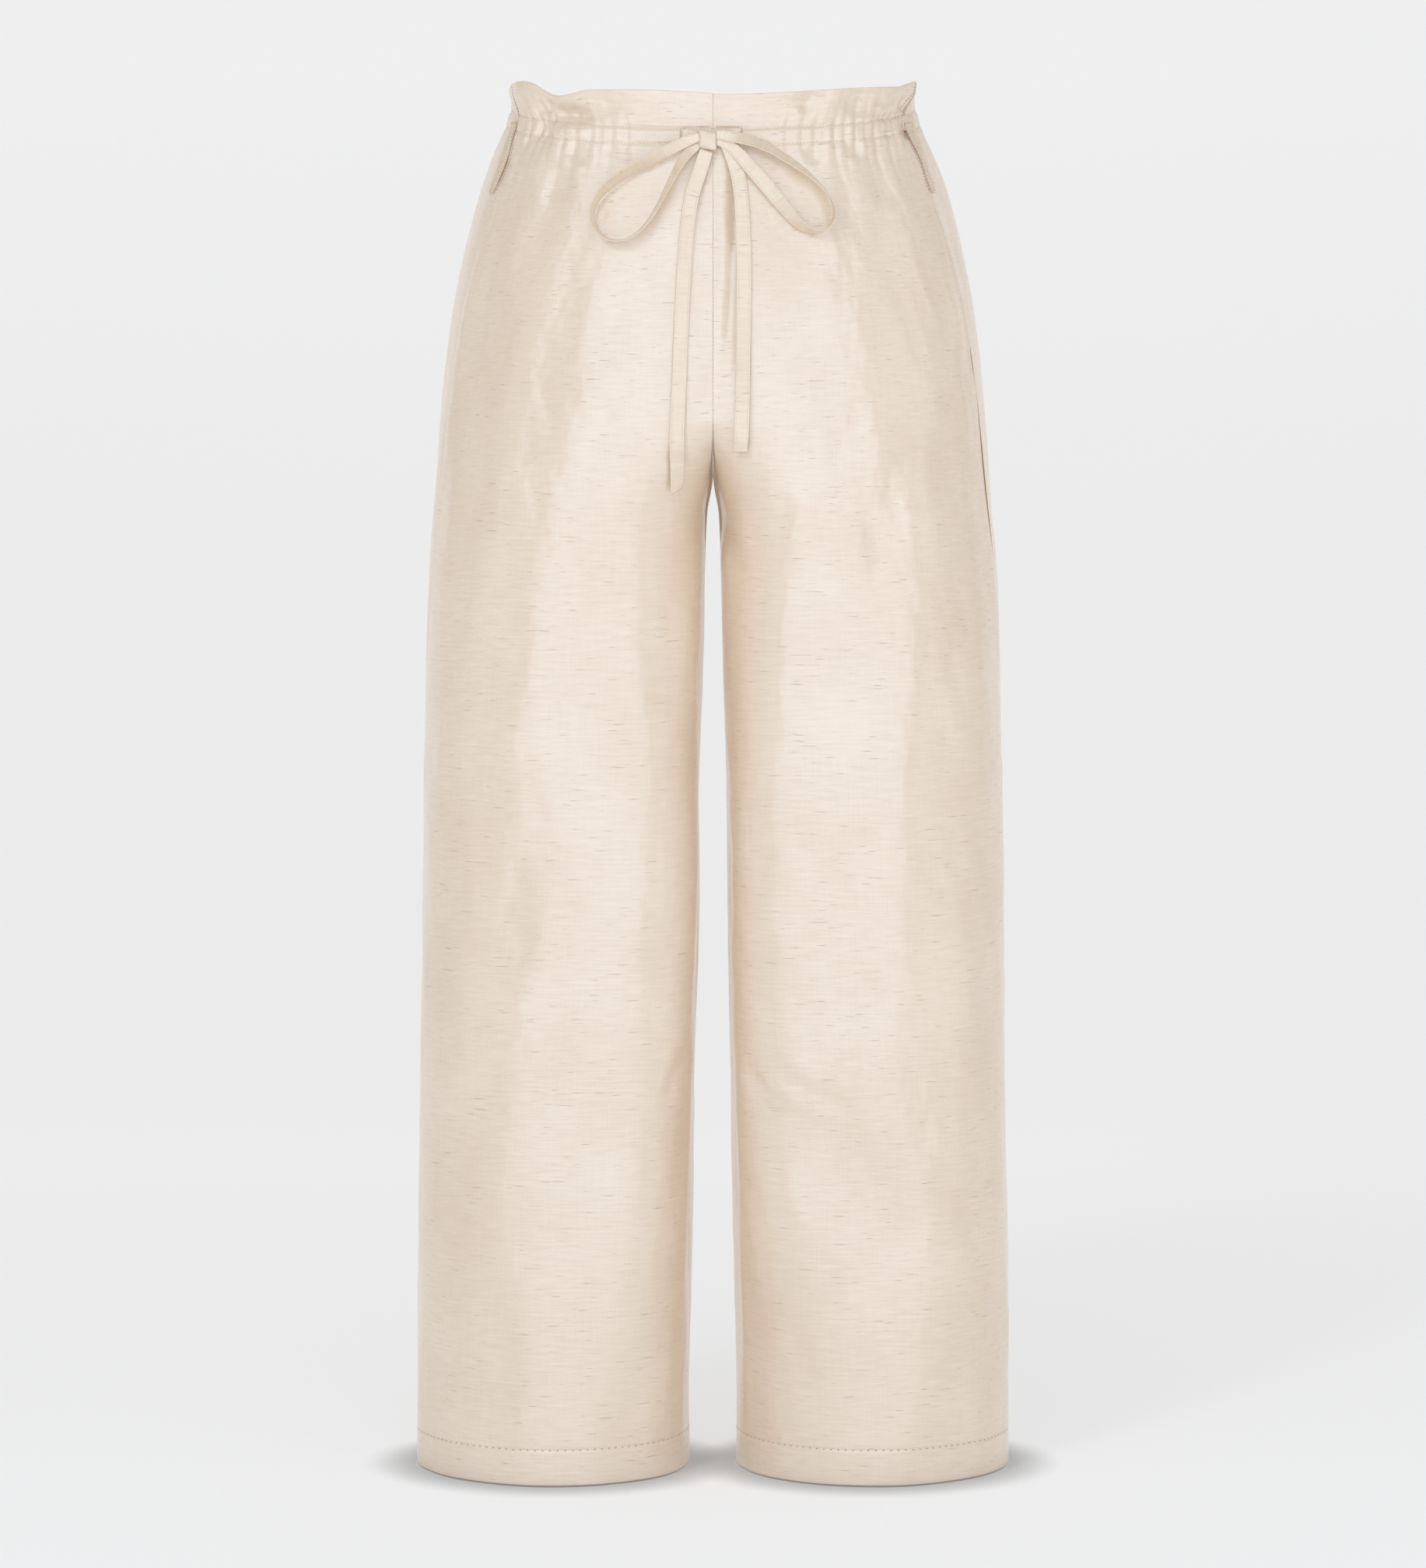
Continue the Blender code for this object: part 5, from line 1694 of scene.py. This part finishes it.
@dataclass
class Sewing:
    """All of the garment's visible stitching."""

    thread: bpy.types.Material
    shaded_thread: bpy.types.Material
    stand: float = 0.12 * MM
    hem_sink: float = 0.2 * MM
    seam_sink: float = 0.5 * MM
    vent_share: float = 0.982
    row_margin: float = 0.006
    row_points: int = 260
    strip_stand: float = 0.6
    slot_top_z: float = -0.4 * MM
    slot_end_z: float = -12.6 * MM
    slot_step: float = 0.6 * MM

    def line(self, form: Form, z: Array | float, share: Array | float,
             depth: float = 0.0) -> tuple[Array, Array]:
        """Draws a line on a panel's outer face.

        Args:
            form: the panel's form.
            z: heights, or one for the whole line.
            share: shares of the panel's width, or one for the whole line.
            depth: how far the line is sunk in the cloth.

        Returns:
            Its points and the directions out of the cloth.
        """
        z, share = (np.array(values) for values in np.broadcast_arrays(z, share))
        points, outs = form.skin(z, share)
        return points + outs * (self.stand - depth), outs

    def slots(self, surface: Surface) -> StitchLine:
        """Works the two buttonholes that the tape comes out of.

        Args:
            surface: the front panels' outer faces.

        Returns:
            A bar of close stitches on each side of both.
        """
        bars = StitchLine("slot_stitches", 0.7 * MM, 0.66 * MM, 1.5 * MM, 0.5 * MM)
        for x in SLOT_BARS_MM:
            places = [(x * MM, z) for z in np.arange(self.slot_top_z, self.slot_end_z, -self.slot_step)]
            bars.add(np.array([surface.point(*place) for place in places]),
                     np.array([surface.out(*place, 3.0 * MM) for place in places]))
        return bars

    def build(self, panels: dict[tuple[Side, Face], Panel], strips: list[VentStrip], tapes: list[Tape],
              surface: Surface) -> list[bpy.types.Object]:
        """Sews every seam.

        Args:
            panels: each panel by its side and face.
            strips: the vent strips, built.
            tapes: the stretches of tape, built.
            surface: the front panels' outer faces.

        Returns:
            The pieces, one for each kind of seam.
        """
        tree = stitch_tree()
        # Each kind's pitch, then its stitches' length, width and height.
        casing = StitchLine("casing_stitches", 2.7 * MM, 1.9 * MM, 0.42 * MM, 0.32 * MM)
        hems = StitchLine("hem_blind_stitches", 5.5 * MM, 1.6 * MM, 0.55 * MM, 0.40 * MM, shaded=True)
        centres = StitchLine("centre_seam_stitches", 2.6 * MM, 1.5 * MM, 0.60 * MM, 0.50 * MM, shaded=True)
        vents = StitchLine("vent_stitches", 2.4 * MM, 1.9 * MM, 0.50 * MM, 0.35 * MM, shaded=True)
        edges = StitchLine("tape_edge_stitches", 2.3 * MM, 1.6 * MM, 0.30 * MM, 0.22 * MM)
        across = np.linspace(self.row_margin, 1.0 - self.row_margin, self.row_points)
        down_centre = np.arange(TOP_Z - 1.0 * MM, CROTCH_Z + 12.0 * MM, -2.0 * MM)
        down_vent = np.arange(TOP_Z - 2.0 * MM, VENT_END_Z, -1.5 * MM)
        for (side, face), panel in panels.items():
            form = panel.form
            for z in (UPPER_STITCH_Z, LOWER_STITCH_Z):
                casing.add(*self.line(form, z, across))
            hems.add(*self.line(form, HEM_Z + HEM_DEPTH, across, self.hem_sink))
            if side is Side.RIGHT:
                centres.add(*self.line(form, down_centre, form.for_face((0.0, 1.0)), self.seam_sink))
            if face is Face.FRONT:
                vents.add(*self.line(form, down_vent, self.vent_share))
        for strip in strips:
            for seam, outs in strip.seams:
                vents.add(seam + outs * self.stand * self.strip_stand, outs)
            bar, outs = strip.bar
            vents.add(bar + outs * self.stand, outs)
        for tape in tapes:
            for seam, outs in tape.edges:
                edges.add(seam, outs)
        return [kind.build(tree, self.shaded_thread if kind.shaded else self.thread)
                for kind in (casing, hems, centres, vents, edges, self.slots(surface))]


@dataclass
class Bow:
    """The drawstring's bow: leads out of the slots, the knot, two loops and two tails."""

    silk: bpy.types.Material
    tapes: dict[str, Tape] = field(default_factory=dict)
    slants: dict[str, float] = field(default_factory=lambda: {
        "tie_tail_left": 1.8 * MM, "tie_tail_right": 1.2 * MM})

    def build(self, surface: Surface) -> dict[str, bpy.types.Object]:
        """Makes every stretch and the knot.

        Args:
            surface: the front panels.

        Returns:
            The pieces by node name.
        """
        pieces = {}
        for seed, (name, stops) in enumerate((
            ("tie_loop_right", LOOP_RIGHT), ("tie_loop_left", LOOP_LEFT), ("tie_tail_right", TAIL_RIGHT),
            ("tie_tail_left", TAIL_LEFT), ("tie_lead_right", LEAD_RIGHT), ("tie_lead_left", LEAD_LEFT),
        )):
            self.tapes[name] = Tape(name, stops, self.silk, seed=seed, end_slant=self.slants.get(name, 0.0))
            pieces[name] = self.tapes[name].build(surface)
        self.knot = Knot(self.silk)
        pieces[self.knot.node_name] = self.knot.build(surface)
        return pieces

    def dress(self, pieces: dict[str, bpy.types.Object]) -> None:
        """Tells the frame what each stretch is.

        Args:
            pieces: the pieces by node name.
        """
        for name, piece in pieces.items():
            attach(piece, BODY)
            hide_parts(name)


class Softbox(NamedTuple):
    """Rectangular light that faces a point. Its glow is what the camera would read of it."""

    name: str
    place: Point
    aim: Point
    size: tuple[float, float]
    glow: float
    colour: Point = (1.0, 1.0, 1.0)
    in_gloss: bool = False
    shadow: bool = True


@dataclass
class Studio:
    """Pale seamless sweep, a wide soft front light and the camera at the photo's angle."""

    softboxes: tuple[Softbox, ...] = (
        Softbox("front_softbox", (0.0, -1.7, -0.05), (0.0, 0.0, -0.45), (2.5, 2.6), 0.70,
                colour=(0.85, 1.0, 1.17), in_gloss=True),
        Softbox("key_softbox", (-1.5, -2.8, 1.7), (0.0, 0.0, -0.2), (0.7, 0.7), 13.0),
        Softbox("side_fill", (-2.4, -1.5, 0.1), (0.0, 0.0, -0.5), (1.2, 2.4), 1.8, shadow=False),
        Softbox("side_fill", (2.4, -1.5, 0.1), (0.0, 0.0, -0.5), (1.2, 2.4), 2.7, shadow=False),
    )
    world_strength: float = 0.50
    floor_z: float = HEM_Z - 1.5 * MM
    floor_front: float = -7.0
    floor_back: float = 4.8
    bend: float = 1.2
    bend_step: float = 6.0
    half_width: float = 9.0
    wall_height: float = 6.0
    camera_place: Point = (0.0, -4.5, -0.09)
    aim_z: float = -0.482
    lens: float = 139.916
    sensor: float = 36.0
    view_distance: float = 50.0

    def build(self) -> None:
        """Makes the sweep, the lights, the air and the camera."""
        bpy.context.scene.view_settings.view_transform = "Standard"
        self.build_sweep()
        for softbox in self.softboxes:
            self.add_light(softbox)
        world = bpy.data.worlds.new("studio_air")
        world.use_nodes = True
        background = world.node_tree.nodes["Background"]
        background.inputs["Color"].default_value = (1.0, 1.0, 1.0, 1.0)
        background.inputs["Strength"].default_value = self.world_strength
        bpy.context.scene.world = world
        self.add_camera()

    def add_camera(self) -> None:
        """Adds the camera and makes it the scene's."""
        camera = bpy.data.objects.new("photo_camera", bpy.data.cameras.new("photo_camera"))
        bpy.context.scene.collection.objects.link(camera)
        camera.location = self.camera_place
        aim = Vector((0.0, 0.0, self.aim_z)) - Vector(self.camera_place)
        camera.rotation_euler = aim.to_track_quat("-Z", "Y").to_euler()
        camera.data.lens = self.lens
        camera.data.sensor_width = self.sensor
        camera.data.clip_end = self.view_distance
        bpy.context.scene.camera = camera

    def add_light(self, softbox: Softbox) -> None:
        """Adds one softbox, which the camera does not see.

        Args:
            softbox: what it is and where.
        """
        wide, high = softbox.size
        light = bpy.data.lights.new(softbox.name, "AREA")
        light.shape = "RECTANGLE"
        light.size, light.size_y = wide, high
        light.energy = softbox.glow * math.pi * wide * high
        light.color = softbox.colour
        light.use_shadow = softbox.shadow
        lamp = bpy.data.objects.new(softbox.name, light)
        bpy.context.scene.collection.objects.link(lamp)
        lamp.location = softbox.place
        aim = Vector(softbox.aim) - Vector(softbox.place)
        lamp.rotation_euler = aim.to_track_quat("-Z", "Y").to_euler()
        lamp.visible_camera = False
        lamp.visible_glossy = softbox.in_gloss

    def build_sweep(self) -> None:
        """Makes the seamless paper: a floor that curves up into a wall."""
        bend, back = self.bend, self.floor_back
        line = [(self.floor_front, self.floor_z), (back, self.floor_z)]
        line += [(back + bend * math.sin(turn), self.floor_z + bend * (1.0 - math.cos(turn)))
                 for turn in np.radians(np.arange(self.bend_step, 90.0 + TINY, self.bend_step))]
        line.append((back + bend, self.floor_z + self.wall_height))
        points = np.array([[(x, y, z) for x in (-self.half_width, self.half_width)] for y, z in line])
        mesh = grid_mesh("studio_sweep", points, points[..., :2], True)
        sweep = add_object("studio_sweep", mesh, StudioPaper().material())


@dataclass
class Trousers:
    """The whole garment."""

    panels: dict[tuple[Side, Face], Panel] = field(default_factory=dict)

    def build(self) -> None:
        """Builds and dresses every piece."""
        silk = SlubSilk().material()
        tape_silk = SlubSilk(name="champagne_tape_silk", cloth="#CFBAA1", pale="#DAC7B1").material()
        thread = SewingThread().material()
        pieces = {}
        for side in Side:
            for face in Face:
                panel = Panel(side, face, silk)
                pieces[side, face] = panel.build()
                panel.dress(pieces[side, face])
                self.panels[side, face] = panel
                log.info("%s built, %d faces", panel.node_name, len(pieces[side, face].data.polygons))
        strips = []
        vent_silk = SlubSilk(name="champagne_vent_silk", cloth="#C6B096", pale="#D3BFA8").material()
        for side in Side:
            strip = VentStrip(side, vent_silk)
            self.dress_small(strip.build(self.panels[side, Face.BACK].form), strip.node_name)
            strips.append(strip)
            tie = VentTie(side, tape_silk)
            made = tie.build(self.panels[side, Face.FRONT].form, self.panels[side, Face.BACK].form)
            self.dress_small(made, tie.node_name)
            log.info("vent of the %s side built", side.word)
        surface = Surface([pieces[side, Face.FRONT] for side in Side])
        bow = Bow(tape_silk)
        bow.dress(bow.build(surface))
        log.info("bow built")
        # Painted shade: this darker copy of the thread stands for the shade on the hem stitches, the centre
        # seam's ditch, the vent edges and the strips' edges.
        sunk = SewingThread(name="shade_painted_sewing_thread", colour="#A48C6E", shade="#8B7355").material()
        for seam in Sewing(thread, sunk).build(self.panels, strips, list(bow.tapes.values()), surface):
            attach(seam, BODY)
            log.info("%s built, %d faces", seam.name, len(seam.data.polygons))

    def dress_small(self, piece: bpy.types.Object, node_name: str) -> None:
        """Tells the frame which node a small piece stands for.

        Args:
            piece: the piece.
            node_name: name of the CAD node.
        """
        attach(piece, BODY)
        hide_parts(node_name)


def main() -> None:
    """Builds the studio and the garment."""
    logging.basicConfig(level=logging.INFO, format="%(name)s: %(message)s")
    Studio().build()
    Trousers().build()


if __name__ == "__main__":
    main()
